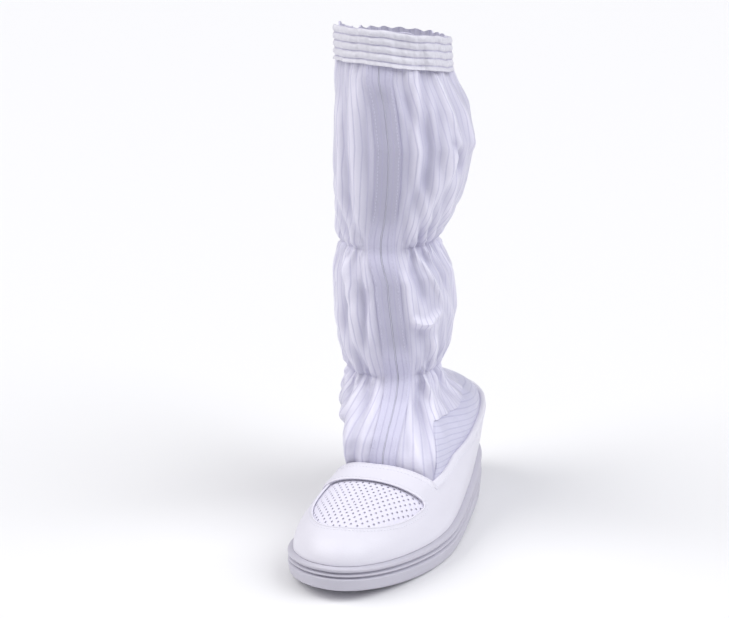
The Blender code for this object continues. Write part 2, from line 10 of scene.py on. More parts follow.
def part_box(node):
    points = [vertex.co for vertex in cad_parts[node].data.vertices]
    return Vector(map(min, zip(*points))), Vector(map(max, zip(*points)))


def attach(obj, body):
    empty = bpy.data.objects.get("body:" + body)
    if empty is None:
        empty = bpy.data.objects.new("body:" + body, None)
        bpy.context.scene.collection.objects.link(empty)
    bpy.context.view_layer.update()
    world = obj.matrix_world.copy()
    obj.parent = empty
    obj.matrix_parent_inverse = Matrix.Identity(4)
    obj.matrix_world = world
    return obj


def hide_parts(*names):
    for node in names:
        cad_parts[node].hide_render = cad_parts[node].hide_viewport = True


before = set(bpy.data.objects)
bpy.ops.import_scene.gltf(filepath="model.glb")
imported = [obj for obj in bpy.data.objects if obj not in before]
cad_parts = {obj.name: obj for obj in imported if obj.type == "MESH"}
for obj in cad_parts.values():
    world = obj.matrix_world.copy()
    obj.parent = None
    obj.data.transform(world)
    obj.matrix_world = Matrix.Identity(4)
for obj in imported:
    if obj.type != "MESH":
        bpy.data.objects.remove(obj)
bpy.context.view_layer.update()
bpy.ops.object.select_all(action="DESELECT")
gap = 0.0003

# The sole and the last by their stations, u from the heel's back (0) to the toe's tip (1)
soleShape = {
    "length": 0.284,
    "stationsNames": ("u", "inner", "outer", "lift", "top"),
    "stations": (
        (0.00, 0.0000, 0.0000, 0.0000, 0.0330),
        (0.06, -0.0255, 0.0245, 0.0000, 0.0330),
        (0.14, -0.0355, 0.0360, 0.0000, 0.0328),
        (0.25, -0.0365, 0.0435, 0.0000, 0.0312),
        (0.35, -0.0338, 0.0478, 0.0012, 0.0284),
        (0.45, -0.0320, 0.0507, 0.0020, 0.0252),
        (0.55, -0.0350, 0.0528, 0.0008, 0.0222),
        (0.65, -0.0430, 0.0526, 0.0000, 0.0200),
        (0.73, -0.0495, 0.0486, 0.0000, 0.0194),
        (0.82, -0.0515, 0.0402, 0.0014, 0.0202),
        (0.90, -0.0450, 0.0294, 0.0039, 0.0219),
        (0.96, -0.0315, 0.0168, 0.0065, 0.0239),
        (1.00, -0.0046, -0.0046, 0.0087, 0.0258),
    ),
    "around": 256,
    "normalStep": 1 / 64,
}
lastShape = {
    "featherInset": 0.0040,
    "ridgeNames": ("u", "x", "z"),
    "ridge": (
        (0.15, 0.0000, 0.1500),
        (0.30, -0.0030, 0.1300),
        (0.42, -0.0060, 0.0980),
        (0.50, -0.0070, 0.0740),
        (0.58, -0.0070, 0.0610),
        (0.66, -0.0080, 0.0565),
        (0.74, -0.0095, 0.0525),
        (0.82, -0.0100, 0.0475),
    ),
    "crownNames": ("u", "ridge"),
    "crown": ((0.00, 0.190), (0.30, 0.360), (0.59, 0.612), (0.68, 0.685), (1.00, 0.790)),
    "domePower": 2.1,
    "wallsNames": ("u", "inner_lean", "outer_lean", "inner_flare", "outer_flare"),
    "walls": (
        (0.00, 0.30, 0.30, 0.0055, 0.0055),
        (0.35, 0.30, 0.30, 0.0055, 0.0055),
        (0.50, 0.30, 0.60, 0.0050, 0.0030),
        (0.62, 0.30, 1.00, 0.0050, 0.0000),
        (0.74, 0.75, 1.00, 0.0020, 0.0000),
        (0.86, 1.00, 1.00, 0.0000, 0.0000),
        (1.00, 1.00, 1.00, 0.0000, 0.0000),
    ),
    "collarNames": ("u", "z"),
    "collar": (
        (0.00, 0.0730),
        (0.14, 0.0730),
        (0.32, 0.0690),
        (0.43, 0.0615),
        (0.51, 0.0555),
        (0.59, 0.0500),
    ),
    "collarShareMost": 0.5,
    "collarLevel": 5.0,
    "ridgeLevel": 10.0,
    "throat": 72 / 256,
    "strapEnd": 80 / 256,
    "wall": 0.0020,
}


def through(places, values, at):
    # A smooth curve through a table's values
    places = np.asarray(places, float)
    values = np.asarray(values, float)
    at = np.clip(np.asarray(at, float), places[0], places[-1])
    slopes = np.gradient(values, places)
    index = np.clip(np.searchsorted(places, at, side="right") - 1, 0, len(places) - 2)
    width = places[index + 1] - places[index]
    t = (at - places[index]) / width
    start = (1 + 2 * t) * (1 - t) ** 2 * values[index] + t * (1 - t) ** 2 * width * slopes[index]
    end = t**2 * (3 - 2 * t) * values[index + 1] + t**2 * (t - 1) * width * slopes[index + 1]
    return start + end


def columnOf(shape, table, name):
    place = shape[table + "Names"].index(name)
    return np.array([row[place] for row in shape[table]])


def readTable(shape, table, name, at):
    return through(columnOf(shape, table, shape[table + "Names"][0]), columnOf(shape, table, name), at)


def ease(value, low, high):
    t = np.clip((np.asarray(value, float) - low) / (high - low), 0, 1)
    return t * t * (3 - 2 * t)


def wrapped(turn, whole=2 * math.pi):
    return np.mod(turn + whole / 2, whole) - whole / 2


def stationOf(share):
    return (1 - np.cos(2 * math.pi * np.asarray(share, float))) / 2


def stationY(u):
    return soleShape["length"] * (0.5 - np.asarray(u, float))


def outlinePlain(share):
    share = np.mod(np.asarray(share, float), 1.0)
    u = stationOf(share)
    turns = np.arccos(1 - 2 * columnOf(soleShape, "stations", "u")) / math.pi
    at = np.where(share > 0.5, 2 - 2 * share, 2 * share)
    outer = through(turns, columnOf(soleShape, "stations", "outer"), at)
    inner = through(turns, columnOf(soleShape, "stations", "inner"), at)
    return np.stack([np.where(share > 0.5, outer, inner), stationY(u)], axis=-1)


def outline(share, out=0.0):
    # The sole's outline from above, share runs heel, inner side, toe, outer side
    step = soleShape["normalStep"]
    along = outlinePlain(np.add(share, step)) - outlinePlain(np.subtract(share, step))
    along /= np.linalg.norm(along, axis=-1, keepdims=True)
    normals = np.stack([along[..., 1], -along[..., 0]], axis=-1)
    return outlinePlain(share) + np.multiply(np.asarray(out)[..., None], normals)


def soleHeight(name, y):
    u = 0.5 - np.asarray(y, float) / soleShape["length"]
    return np.maximum(readTable(soleShape, "stations", name, u), 0.0)


def soleSide(name, y):
    u = 0.5 - np.asarray(y, float) / soleShape["length"]
    return readTable(soleShape, "stations", name, u)


def wallValue(name, share):
    u = stationOf(share)
    inner = readTable(lastShape, "walls", "inner_" + name, u)
    outer = readTable(lastShape, "walls", "outer_" + name, u)
    return np.where(share > 0.5, outer, inner)


def lastPoints(share, level):
    # The last's surface. Past the ridge's level it goes on down the other side
    share, level = np.broadcast_arrays(np.mod(np.asarray(share, float), 1.0), np.asarray(level, float))
    ridgeLevel, collarLevel = lastShape["ridgeLevel"], lastShape["collarLevel"]
    over = level > ridgeLevel
    share = np.where(over, 1 - share, share)
    level = np.where(over, 2 * ridgeLevel - level, level)
    u = stationOf(share)
    featherPlan = outline(share, -lastShape["featherInset"])
    featherZ = soleHeight("top", featherPlan[..., 1]) + gap
    ridgeU = readTable(lastShape, "crown", "ridge", u)
    ridgeX = readTable(lastShape, "ridge", "x", ridgeU)
    ridgeZ = readTable(lastShape, "ridge", "z", ridgeU)
    ridgePlan = np.stack([ridgeX, stationY(ridgeU)], axis=-1)
    collar = readTable(lastShape, "collar", "z", u)
    rise = np.clip((collar - featherZ) / (ridgeZ - featherZ), 0, 1)
    collarShare = np.arcsin(rise ** (lastShape["domePower"] / 2)) / (math.pi / 2)
    collarShare = np.minimum(collarShare, lastShape["collarShareMost"])
    above = np.maximum(level - collarLevel, 0) / (ridgeLevel - collarLevel)
    below = np.minimum(level / collarLevel, 1)
    up = collarShare * below + (1 - collarShare) * above
    angle = up * math.pi / 2
    power = 2 / lastShape["domePower"]
    inwards = 1 - np.clip(np.cos(angle), 0, 1) ** power
    upwards = np.clip(np.sin(angle), 0, 1) ** power
    lean = wallValue("lean", share)
    inwards = inwards * (lean + (1 - lean) * inwards)
    standing = np.sin(math.pi / 2 * below) * np.cos(math.pi / 2 * above)
    outwards = (outline(share, 0.01) - outline(share)) / 0.01
    plan = featherPlan + (ridgePlan - featherPlan) * inwards[..., None]
    plan = plan + (wallValue("flare", share) * standing)[..., None] * outwards
    height = featherZ + (ridgeZ - featherZ) * upwards
    return np.concatenate([plan, height[..., None]], axis=-1)


def lastNormals(share, level):
    aside = lastPoints(share + 0.002, level) - lastPoints(share - 0.002, level)
    upwards = lastPoints(share, level + 0.1) - lastPoints(share, np.maximum(level - 0.1, 0))
    normals = np.cross(aside, upwards)
    return normals / np.maximum(np.linalg.norm(normals, axis=-1, keepdims=True), 1e-12)


# The shoe's own frame lies a little off the row's frame, whose origin is the middle of the whole box
soleLow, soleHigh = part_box("outsole")
plainRing = outline(np.arange(64) / 64)
shoeShift = np.array([
    (soleLow.x + soleHigh.x) / 2 - (plainRing[:, 0].min() + plainRing[:, 0].max()) / 2,
    (soleLow.y + soleHigh.y) / 2,
    0.0,
])
print("shoe frame at", [round(float(v), 5) for v in shoeShift])


# Materials
def newMaterial(name, colour, roughness, **more):
    look = bpy.data.materials.new(name)
    look.use_nodes = True
    shader = look.node_tree.nodes["Principled BSDF"]
    shader.inputs["Base Color"].default_value = (*colour, 1)
    shader.inputs["Roughness"].default_value = roughness
    for socket, value in more.items():
        shader.inputs[socket.replace("_", " ")].default_value = value
    return look


def addNode(look, kind, **values):
    node = look.node_tree.nodes.new(kind)
    for name, value in values.items():
        if name in node.inputs:
            node.inputs[name].default_value = value
        else:
            setattr(node, name, value)
    return node


def join(look, a, b):
    look.node_tree.links.new(a, b)


def math2(look, operation, a, b=None, c=None):
    node = addNode(look, "ShaderNodeMath", operation=operation)
    for index, value in enumerate((a, b, c)):
        if value is None:
            continue
        if isinstance(value, (int, float)):
            node.inputs[index].default_value = value
        else:
            join(look, value, node.inputs[index])
    return node.outputs[0]


def noise(look, vector, scale, detail=3.0, roughness=0.55):
    node = addNode(look, "ShaderNodeTexNoise", Scale=scale, Detail=detail, Roughness=roughness)
    join(look, vector, node.inputs["Vector"])
    return node.outputs["Fac"]


def bump(look, height, strength, distance, below=None):
    node = addNode(look, "ShaderNodeBump", Strength=strength, Distance=distance)
    join(look, height, node.inputs["Height"])
    if below is not None:
        join(look, below, node.inputs["Normal"])
    return node.outputs["Normal"]


def mixColour(look, factor, a, b):
    node = addNode(look, "ShaderNodeMix", data_type="RGBA")
    for index, value in ((6, a), (7, b)):
        if isinstance(value, tuple):
            node.inputs[index].default_value = (*value, 1)
        else:
            join(look, value, node.inputs[index])
    join(look, factor, node.inputs[0])
    return node.outputs[2]


def clothLook(name, colour, lineColour, level=False):
    # Polyester with a thin grey yarn every stripe, painted darker in the fold troughs and lighter on the
    # fold ridges as painted shade and painted highlight. The map's u counts stripes round, v counts them up
    look = newMaterial(name, colour, 0.40, Sheen_Weight=0.25, Sheen_Roughness=0.35,
                       Specular_IOR_Level=0.5)
    shader = look.node_tree.nodes["Principled BSDF"]
    uv = addNode(look, "ShaderNodeUVMap", uv_map="cloth")
    parts = addNode(look, "ShaderNodeSeparateXYZ")
    join(look, uv.outputs["UV"], parts.inputs[0])
    across = parts.outputs[1 if level else 0]
    along = parts.outputs[0 if level else 1]
    wobble = math2(look, "MULTIPLY", noise(look, uv.outputs["UV"], 2.3), 0.05)
    place = math2(look, "ADD", across, wobble)
    away = math2(look, "PINGPONG", place, 0.5)
    line = math2(look, "SMOOTH_MIN", math2(look, "MULTIPLY_ADD", away, -7.5, 1.15), 1.0, 0.2)
    line = math2(look, "MAXIMUM", line, 0.0)
    soft = math2(look, "SMOOTH_MIN", math2(look, "MULTIPLY", away, 6.0), 1.0, 0.25)
    patches = noise(look, uv.outputs["UV"], 0.6, 2.0)
    # Painted shade and painted highlight: each point's fold depth darkens the cloth in troughs and lightens
    # it on ridges
    paintedShadeAttribute = addNode(look, "ShaderNodeAttribute", attribute_name="paintedFoldShade")
    light = math2(look, "MULTIPLY_ADD", paintedShadeAttribute.outputs["Fac"], 0.5, 0.5)
    paintedShadeColour, paintedHighlightColour = tuple(c * 0.77 for c in colour), tuple(min(c * 1.18, 0.93) for c in colour)
    shaded = mixColour(look, light, paintedShadeColour, paintedHighlightColour)
    worn = math2(look, "MULTIPLY", line, math2(look, "MULTIPLY_ADD", patches, 0.5, 0.45))
    join(look, mixColour(look, worn, shaded, lineColour), shader.inputs["Base Color"])
    ribs = math2(look, "SINE", math2(look, "MULTIPLY", across, 2 * math.pi * 12))
    picks = math2(look, "SINE", math2(look, "MULTIPLY", along, 2 * math.pi * 14))
    weave = math2(look, "MULTIPLY_ADD", ribs, 0.5, math2(look, "MULTIPLY", picks, 0.3))
    fine = bump(look, weave, 0.22, 0.0002)
    coarse = bump(look, soft, 0.30, 0.0003, fine)
    slub = bump(look, noise(look, uv.outputs["UV"], 3.5, 4.0), 0.25, 0.0010, coarse)
    join(look, slub, shader.inputs["Normal"])
    return look


def leatherLook(name, colour, roughness, grain, coat):
    look = newMaterial(name, colour, roughness, Coat_Weight=coat, Coat_Roughness=0.28,
                       Specular_IOR_Level=0.5)
    shader = look.node_tree.nodes["Principled BSDF"]
    place = addNode(look, "ShaderNodeTexCoord").outputs["Object"]
    cells = addNode(look, "ShaderNodeTexVoronoi", feature="SMOOTH_F1", Scale=900.0, Smoothness=0.6)
    join(look, place, cells.inputs["Vector"])
    pores = bump(look, cells.outputs["Distance"], grain, 0.00022)
    waves = bump(look, noise(look, place, 55.0, 4.0), 0.30, 0.0009, pores)
    join(look, waves, shader.inputs["Normal"])
    patches = noise(look, place, 30.0, 3.0)
    shade = tuple(c * 0.955 for c in colour)
    join(look, mixColour(look, patches, colour, shade), shader.inputs["Base Color"])
    rough = math2(look, "MULTIPLY_ADD", noise(look, place, 120.0, 3.0), 0.14, roughness - 0.07)
    join(look, rough, shader.inputs["Roughness"])
    return look


soleLook = leatherLook("moulded sole", (0.57, 0.555, 0.63), 0.5, 0.10, 0.03)
upperLook = leatherLook("coated upper", (0.77, 0.755, 0.83), 0.46, 0.30, 0.04)
insoleLook = leatherLook("insole cloth", (0.78, 0.79, 0.84), 0.9, 0.8, 0.0)
netLook = leatherLook("white net", (0.80, 0.78, 0.89), 0.6, 0.6, 0.0)
liningLook = leatherLook("toe lining", (0.80, 0.78, 0.88), 0.9, 0.6, 0.0)
threadLook = leatherLook("thread", (0.80, 0.79, 0.87), 0.5, 0.5, 0.0)
clothThread = leatherLook("thread on the cloth", (0.62, 0.605, 0.75), 0.5, 0.5, 0.0)
zipLook = leatherLook("zip coil", (0.66, 0.66, 0.76), 0.45, 0.4, 0.0)
elasticLook = leatherLook("elastic", (0.80, 0.80, 0.86), 0.8, 0.8, 0.0)
clothWhite = clothLook("striped cloth", (0.70, 0.685, 0.865), (0.53, 0.51, 0.68))
# The facings' copy of the cloth is painted darker, as painted shade for the trough along the zip
clothFacingsPaintedShade = clothLook("striped cloth of the facings, painted darker for shade", (0.645, 0.63, 0.80), (0.49, 0.47, 0.64))
clothLevel = clothLook("striped cloth laid level", (0.66, 0.65, 0.81), (0.50, 0.49, 0.66), level=True)
# The band's copy of the cloth is painted lighter, as painted highlight on its rolls
clothBandPaintedLight = clothLook("striped cloth of the band, painted lighter", (0.76, 0.75, 0.87), (0.50, 0.48, 0.64), level=True)
print("materials done")


# Mesh helpers
def pick(piece):
    bpy.ops.object.select_all(action="DESELECT")
    piece.select_set(True)
    bpy.context.view_layer.objects.active = piece


def finishMesh(piece, angle=40):
    pick(piece)
    bpy.ops.object.shade_smooth_by_angle(angle=math.radians(angle))
    piece.select_set(False)
    return piece


def applyAll(piece):
    pick(piece)
    for modifier in list(piece.modifiers):
        bpy.ops.object.modifier_apply(modifier=modifier.name)
    piece.select_set(False)


def faceOut(mesh):
    data = bmesh.new()
    data.from_mesh(mesh)
    bmesh.ops.recalc_face_normals(data, faces=data.faces)
    data.to_mesh(mesh)
    data.free()


def newPiece(name, mesh):
    piece = bpy.data.objects.new(name, mesh)
    bpy.context.scene.collection.objects.link(piece)
    return piece


def meshPiece(name, vertices, faces, look=None):
    # A mesh from points in the shoe's frame, with its faces turned out
    mesh = bpy.data.meshes.new(name)
    mesh.from_pydata((np.asarray(vertices) + shoeShift).tolist(), [], faces)
    faceOut(mesh)
    if look:
        mesh.materials.append(look)
    return newPiece(name, mesh)


def tubeFaces(rings, size, closed=False):
    # Faces round a tube of rings, with both ends shut unless it runs back into itself
    faces = []
    for ring in range(rings if closed else rings - 1):
        start, after = ring * size, (ring + 1) % rings * size
        for side in range(size):
            other = (side + 1) % size
            faces.append((start + side, start + other, after + other, after + side))
    if not closed:
        faces += [tuple(range(size)), tuple(range(rings * size - 1, (rings - 1) * size - 1, -1))]
    return faces


def gridPiece(name, grid, look, wall=0.0, inwards=True, wraps=False, keep=None, uv=None, paintedFoldShade=None):
    # A sheet from rows of points, shifted from the shoe's frame into the row's, with its wall
    rows, columns = grid.shape[:2]
    points = (grid + shoeShift).reshape(-1, 3)
    spans = columns if wraps else columns - 1
    row, col = np.meshgrid(np.arange(rows - 1), np.arange(spans), indexing="ij")
    if keep is not None:
        row, col = row[keep[: rows - 1, :spans]], col[keep[: rows - 1, :spans]]
    row, col = row.ravel(), col.ravel()
    nextCol = (col + 1) % columns
    low, high = row * columns, (row + 1) * columns
    faces = np.stack([low + col, low + nextCol, high + nextCol, high + col], axis=1)
    mesh = bpy.data.meshes.new(name)
    mesh.from_pydata(points.tolist(), [], faces.tolist())
    if uv is not None:
        places = ((row, 0), (row, 1), (row + 1, 1), (row + 1, 0))
        corners = np.stack([
            np.stack([uv[0][at, col + aside], uv[1][at, nextCol if aside else col]], 1)
            for at, aside in places
        ], axis=1)
        layer = mesh.uv_layers.new(name="cloth")
        layer.data.foreach_set("uv", corners.reshape(-1).astype(np.float32))
    # The fold depth is kept on the points for the cloth's painted shade and painted highlight
    if paintedFoldShade is not None:
        paintedShadeAttribute = mesh.attributes.new("paintedFoldShade", "FLOAT", "POINT")
        paintedShadeAttribute.data.foreach_set("value", np.clip(paintedFoldShade / 0.0030, -1, 1).reshape(-1).astype(np.float32))
    data = bmesh.new()
    data.from_mesh(mesh)
    bmesh.ops.delete(data, geom=[v for v in data.verts if not v.link_faces], context="VERTS")
    bmesh.ops.remove_doubles(data, verts=data.verts, dist=1e-6)
    data.to_mesh(mesh)
    data.free()
    mesh.materials.append(look)
    piece = newPiece(name, mesh)
    if wall:
        thicken = piece.modifiers.new("Wall", "SOLIDIFY")
        thicken.thickness = wall
        thicken.offset = -1 if inwards else 1
        applyAll(piece)
    return finishMesh(piece)


def hold(piece, slot, *nodes):
    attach(piece, "root")
    if nodes:
        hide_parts(*nodes)
    return piece


def pathFrames(points):
    # Unit directions along a path of points
    along = np.gradient(points, axis=0)
    return along / np.maximum(np.linalg.norm(along, axis=1, keepdims=True), 1e-12)


def resample(pitch, points, normals):
    # Both at an even pitch along the points' path
    lengths = np.linalg.norm(np.diff(points, axis=0), axis=1)
    walked = np.concatenate([[0], np.cumsum(lengths)])
    count = max(int(walked[-1] / pitch), 2)
    at = (np.arange(count) + 0.5) * walked[-1] / count
    return [np.stack([np.interp(at, walked, values[:, axis]) for axis in range(3)], 1)
            for values in (points, normals)]


stitchSizes = {
    "pitch": 0.0026, "long": 0.0019, "thick": 0.00034, "flat": 0.75, "sides": 6,
    "profile": ((-0.5, 0.35), (-0.32, 0.9), (0.0, 1.0), (0.32, 0.9), (0.5, 0.35)),
}


def stitchRow(seams, name, look):
    # Short rounded threads lying along each seam, half sunk in the surface
    sizes = stitchSizes
    sides, (places, widths) = sizes["sides"], np.array(sizes["profile"]).T
    turns = 2 * math.pi * np.arange(sides) / sides
    threads = []
    for points, normals in seams:
        centres, ups = resample(sizes["pitch"], points, normals)
        ahead = pathFrames(centres)
        asides = np.cross(ups, ahead)
        rings = np.cos(turns)[:, None] * asides[:, None]
        rings = rings + sizes["flat"] * np.sin(turns)[:, None] * ups[:, None]
        along = (places * sizes["long"])[:, None, None] * ahead[:, None, None]
        wide = (widths * sizes["thick"])[:, None, None] * rings[:, None]
        threads.append(centres[:, None, None] + along + wide)
    vertices = np.concatenate(threads).reshape(-1, 3)
    shape = tubeFaces(len(places), sides)
    starts = range(0, len(vertices), len(places) * sides)
    faces = [tuple(start + corner for corner in face) for start in starts for face in shape]
    return finishMesh(meshPiece(name, vertices, faces, look), 60)


def sweptPiece(name, points, normals, profile, look, closed=False):
    # A closed section swept along a path: the section's first value is outwards, its second aside
    ahead = pathFrames(points)
    if closed:
        ahead = np.roll(points, -1, axis=0) - np.roll(points, 1, axis=0)
        ahead /= np.linalg.norm(ahead, axis=1, keepdims=True)
    asides = np.cross(normals, ahead)
    asides /= np.linalg.norm(asides, axis=1, keepdims=True)
    outs, sideways = np.array(profile).T[:, :, None]
    rings = points[:, None] + outs * normals[:, None] + sideways * asides[:, None]
    faces = tubeFaces(*rings.shape[:2], closed)
    return finishMesh(meshPiece(name, rings.reshape(-1, 3), faces, look), 60)


def roundProfile(radius, sides=10):
    return [(radius * math.sin(2 * math.pi * k / sides), radius * math.cos(2 * math.pi * k / sides))
            for k in range(sides)]


# Camera at the photo's angle, from the fit of the sole's outline
cameraPlace = {
    "position": (0.3474265, -1.1363807, 0.4876241),
    "yaw": 0.3171,
    "pitch": 0.2641,
    "roll": -0.0099,
    "focalPixels": 1725.13,
    "imageWidth": 729,
    "sensor": 36.0,
}


def makeCamera():
    yaw, pitch, roll = (cameraPlace[key] for key in ("yaw", "pitch", "roll"))
    ahead = Vector((-math.sin(yaw) * math.cos(pitch), math.cos(yaw) * math.cos(pitch), -math.sin(pitch)))
    right = Vector((math.cos(yaw), math.sin(yaw), 0))
    up = right.cross(ahead)
    turnedRight = math.cos(roll) * right + math.sin(roll) * up
    turnedUp = -math.sin(roll) * right + math.cos(roll) * up
    camera = newPiece("camera", bpy.data.cameras.new("camera"))
    turn = Matrix((turnedRight, turnedUp, -ahead)).transposed().to_4x4()
    place = Vector(cameraPlace["position"]) + Vector(shoeShift)
    camera.matrix_world = Matrix.Translation(place) @ turn
    camera.data.sensor_width = cameraPlace["sensor"]
    camera.data.lens = cameraPlace["focalPixels"] / cameraPlace["imageWidth"] * cameraPlace["sensor"]
    camera.data.clip_start = 0.05
    bpy.context.scene.camera = camera


makeCamera()

# Outsole
outsoleSizes = {
    "steps": (
        (0.00, -0.0034), (0.025, -0.0014), (0.06, -0.0004), (0.11, 0.0000), (0.16, -0.0003),
        (0.205, -0.0012), (0.235, -0.0029), (0.265, -0.0029), (0.30, -0.0007), (0.345, -0.0003),
        (0.385, -0.0009), (0.415, -0.0029), (0.445, -0.0029), (0.48, -0.0006), (0.52, -0.0001),
        (0.90, -0.0012), (0.965, -0.0021), (1.00, -0.0040),
    ),
    "rows": 64,
    "seatInset": 0.0075,
    "bedInset": 0.0082,
    "bedDepth": 0.0030,
    "innerRings": (0.8, 0.55, 0.25, 0.0),
    "centreLineShare": 0.74,
    "channels": ((0.575, 9), (0.060, 5)),
    "channelWidth": 0.0034,
    "channelDepth": 0.0024,
    "channelPitch": 0.0118,
    "channelBorder": 0.0105,
}
insoleSizes = {"inset": 0.0088, "thickness": 0.0032}


def raised(plan, heights):
    return np.column_stack([plan, heights])


def shrunk(ring, share, around):
    lineY = stationY(stationOf(around)) * outsoleSizes["centreLineShare"]
    lineX = (soleSide("inner", lineY) + soleSide("outer", lineY)) / 2
    line = np.stack([lineX, lineY], axis=1)
    return line + share * (ring - line)


def flatRings(edge, around, shares, name, lift=0.0):
    # Rings over the sole's top or foot, drawn in towards its centre line
    rings = [shrunk(edge, share, around) for share in shares]
    return [raised(ring, soleHeight(name, ring[:, 1]) + lift) for ring in rings]


def closedRings(name, rings, look):
    piece = gridPiece(name, np.array(rings), look, wraps=True)
    faceOut(piece.data)
    return piece


def makeOutsole():
    share = np.arange(soleShape["around"]) / soleShape["around"]
    sizes = outsoleSizes
    shares, outs = np.array(sizes["steps"]).T
    bed = outline(share, -sizes["bedInset"])
    seat = outline(share, -sizes["seatInset"])
    rings = flatRings(bed, share, (*reversed(sizes["innerRings"]), 1), "top", -sizes["bedDepth"])
    rings.append(raised(seat, soleHeight("top", seat[:, 1])))
    for down in np.linspace(0, 1, sizes["rows"]):
        out = float(np.interp(down, shares, outs))
        near = float(np.mean([np.interp(down + k, shares, outs) for k in (-0.008, 0.008)]))
        ring = outline(share, (out + near) / 2)
        top, bottom = soleHeight("top", ring[:, 1]), soleHeight("lift", ring[:, 1])
        rings.append(raised(ring, top + down * (bottom - top)))
    rings += flatRings(rings[-1][:, :2], share, sizes["innerRings"], "lift")
    sole = closedRings("outsole_moulded", rings, soleLook)
    cutChannels(sole)
    return hold(finishMesh(sole, 35), "moulded_sole", "outsole")


def cutChannels(sole):
    # Tread channels across the forefoot and the heel, inside a plain border
    sizes = outsoleSizes
    cutters = []
    for first, count in sizes["channels"]:
        for index in range(count):
            y = float(stationY(first)) - index * sizes["channelPitch"]
            inner = float(soleSide("inner", y)) + sizes["channelBorder"]
            outer = float(soleSide("outer", y)) - sizes["channelBorder"]
            centre = Vector(((inner + outer) / 2, y, float(soleHeight("lift", y)))) + Vector(shoeShift)
            size = (outer - inner, sizes["channelWidth"], 2 * sizes["channelDepth"])
            bpy.ops.mesh.primitive_cube_add(size=1, location=centre, scale=size)
            cutters.append(bpy.context.active_object)
    bpy.ops.object.select_all(action="DESELECT")
    for cutter in cutters:
        cutter.select_set(True)
    bpy.context.view_layer.objects.active = cutters[0]
    bpy.ops.object.join()
    joined = bpy.context.active_object
    cut = sole.modifiers.new("Channels", "BOOLEAN")
    cut.operation, cut.solver, cut.object = "DIFFERENCE", "MANIFOLD", joined
    applyAll(sole)
    bpy.data.objects.remove(joined)


def makeInsole():
    share = np.arange(soleShape["around"]) / soleShape["around"]
    edge = outline(share, -insoleSizes["inset"])
    inner, floor = outsoleSizes["innerRings"], gap - outsoleSizes["bedDepth"]
    rings = flatRings(edge, share, (*reversed(inner), 1), "top", floor + insoleSizes["thickness"])
    rings += flatRings(edge, share, (1, *inner), "top", floor)
    return hold(closedRings("insole_sheet", rings, insoleLook), "insole_cloth", "insole")


makeOutsole()
makeInsole()
print("sole and insole done")

# Upper, with its window
windowShape = {
    "top": -0.0515, "middle": -0.0005, "halfWidth": 0.0365, "depth": 0.0660, "lean": -0.0080,
    "corner": 0.0060, "steps": 84, "beadRadius": 0.00075,
}
upperRows = {"below": 22, "above": 30}


def windowOutline(grow=0.0):
    # The D from above: a straight side along the strap and an arc that leans to the inner side
    shape = windowShape
    points = []
    for step in range(shape["steps"] + 1):
        angle = math.pi * step / shape["steps"]
        reach = math.sin(angle)
        across = shape["middle"] + (shape["halfWidth"] + grow) * math.cos(angle) + shape["lean"] * reach
        depth = shape["corner"] + (shape["depth"] + grow - shape["corner"]) * reach
        points.append((across, shape["top"] - depth))
    inset = shape["halfWidth"] - shape["corner"]
    for side, turns in ((-1, (0.25, 0.5, 0.75)), (1, (0.75, 0.5, 0.25))):
        for turn in turns:
            angle = turn * math.pi / 2
            x = inset + (shape["corner"] + grow) * math.cos(angle)
            y = shape["top"] - shape["corner"] + (shape["corner"] + grow) * math.sin(angle)
            points.append((shape["middle"] + side * x, y))
        if side < 0:
            points.append((shape["middle"] - inset, shape["top"] + grow))
            points.append((shape["middle"] + inset, shape["top"] + grow))
    return np.array(points)


def makeUpper():
    share = np.arange(soleShape["around"]) / soleShape["around"]
    low = np.linspace(0, lastShape["collarLevel"], upperRows["below"])
    high = np.linspace(lastShape["collarLevel"], lastShape["ridgeLevel"], upperRows["above"])[1:]
    levels = np.concatenate([low, high])
    grid = lastPoints(share[None, :], levels[:, None])
    keep = np.zeros(grid.shape[:2], bool)
    keep[: upperRows["below"] - 1] = True
    vamp = (share >= lastShape["throat"]) & (share < 1 - lastShape["throat"] - 1e-9)
    keep[:, vamp] = True
    upper = gridPiece("upper_coated", grid, upperLook, wall=lastShape["wall"], wraps=True, keep=keep)
    points = windowOutline()
    count = len(points)
    vertices = [(x, y, z) for z in (0.028, 0.100) for x, y in points]
    cutter = meshPiece("window cutter", vertices, tubeFaces(2, count))
    cut = upper.modifiers.new("Window", "BOOLEAN")
    cut.operation, cut.solver, cut.object = "DIFFERENCE", "EXACT", cutter
    applyAll(upper)
    bpy.data.objects.remove(cutter)
    return hold(finishMesh(upper, 45), "coated_upper", "upper")


upper = makeUpper()
print("upper done", len(upper.data.polygons))


def vampTree():
    share = np.linspace(0.24, 0.5, 140)
    levels = np.linspace(1, 19, 220)
    grid = lastPoints(share[None, :], levels[:, None])
    rows, columns = grid.shape[:2]
    faces = [(r * columns + c, r * columns + c + 1, (r + 1) * columns + c + 1, (r + 1) * columns + c)
             for r in range(rows - 1) for c in range(columns - 1)]
    return BVHTree.FromPolygons(grid.reshape(-1, 3).tolist(), faces)


vampSurface = vampTree()


def onVamp(plan, inset=0.0):
    # The points of the last's top straight above places in plan, with normals
    points, normals = [], []
    for x, y in plan:
        spot, normal, index, distance = vampSurface.ray_cast(Vector((x, y, 0.12)), Vector((0, 0, -1)))
        if spot is None:
            spot, normal, index, distance = vampSurface.find_nearest(Vector((x, y, 0.045)))
        if normal.z < 0:
            normal = -normal
        points.append(tuple(spot - inset * normal))
        normals.append(tuple(normal))
    return np.array(points), np.array(normals)


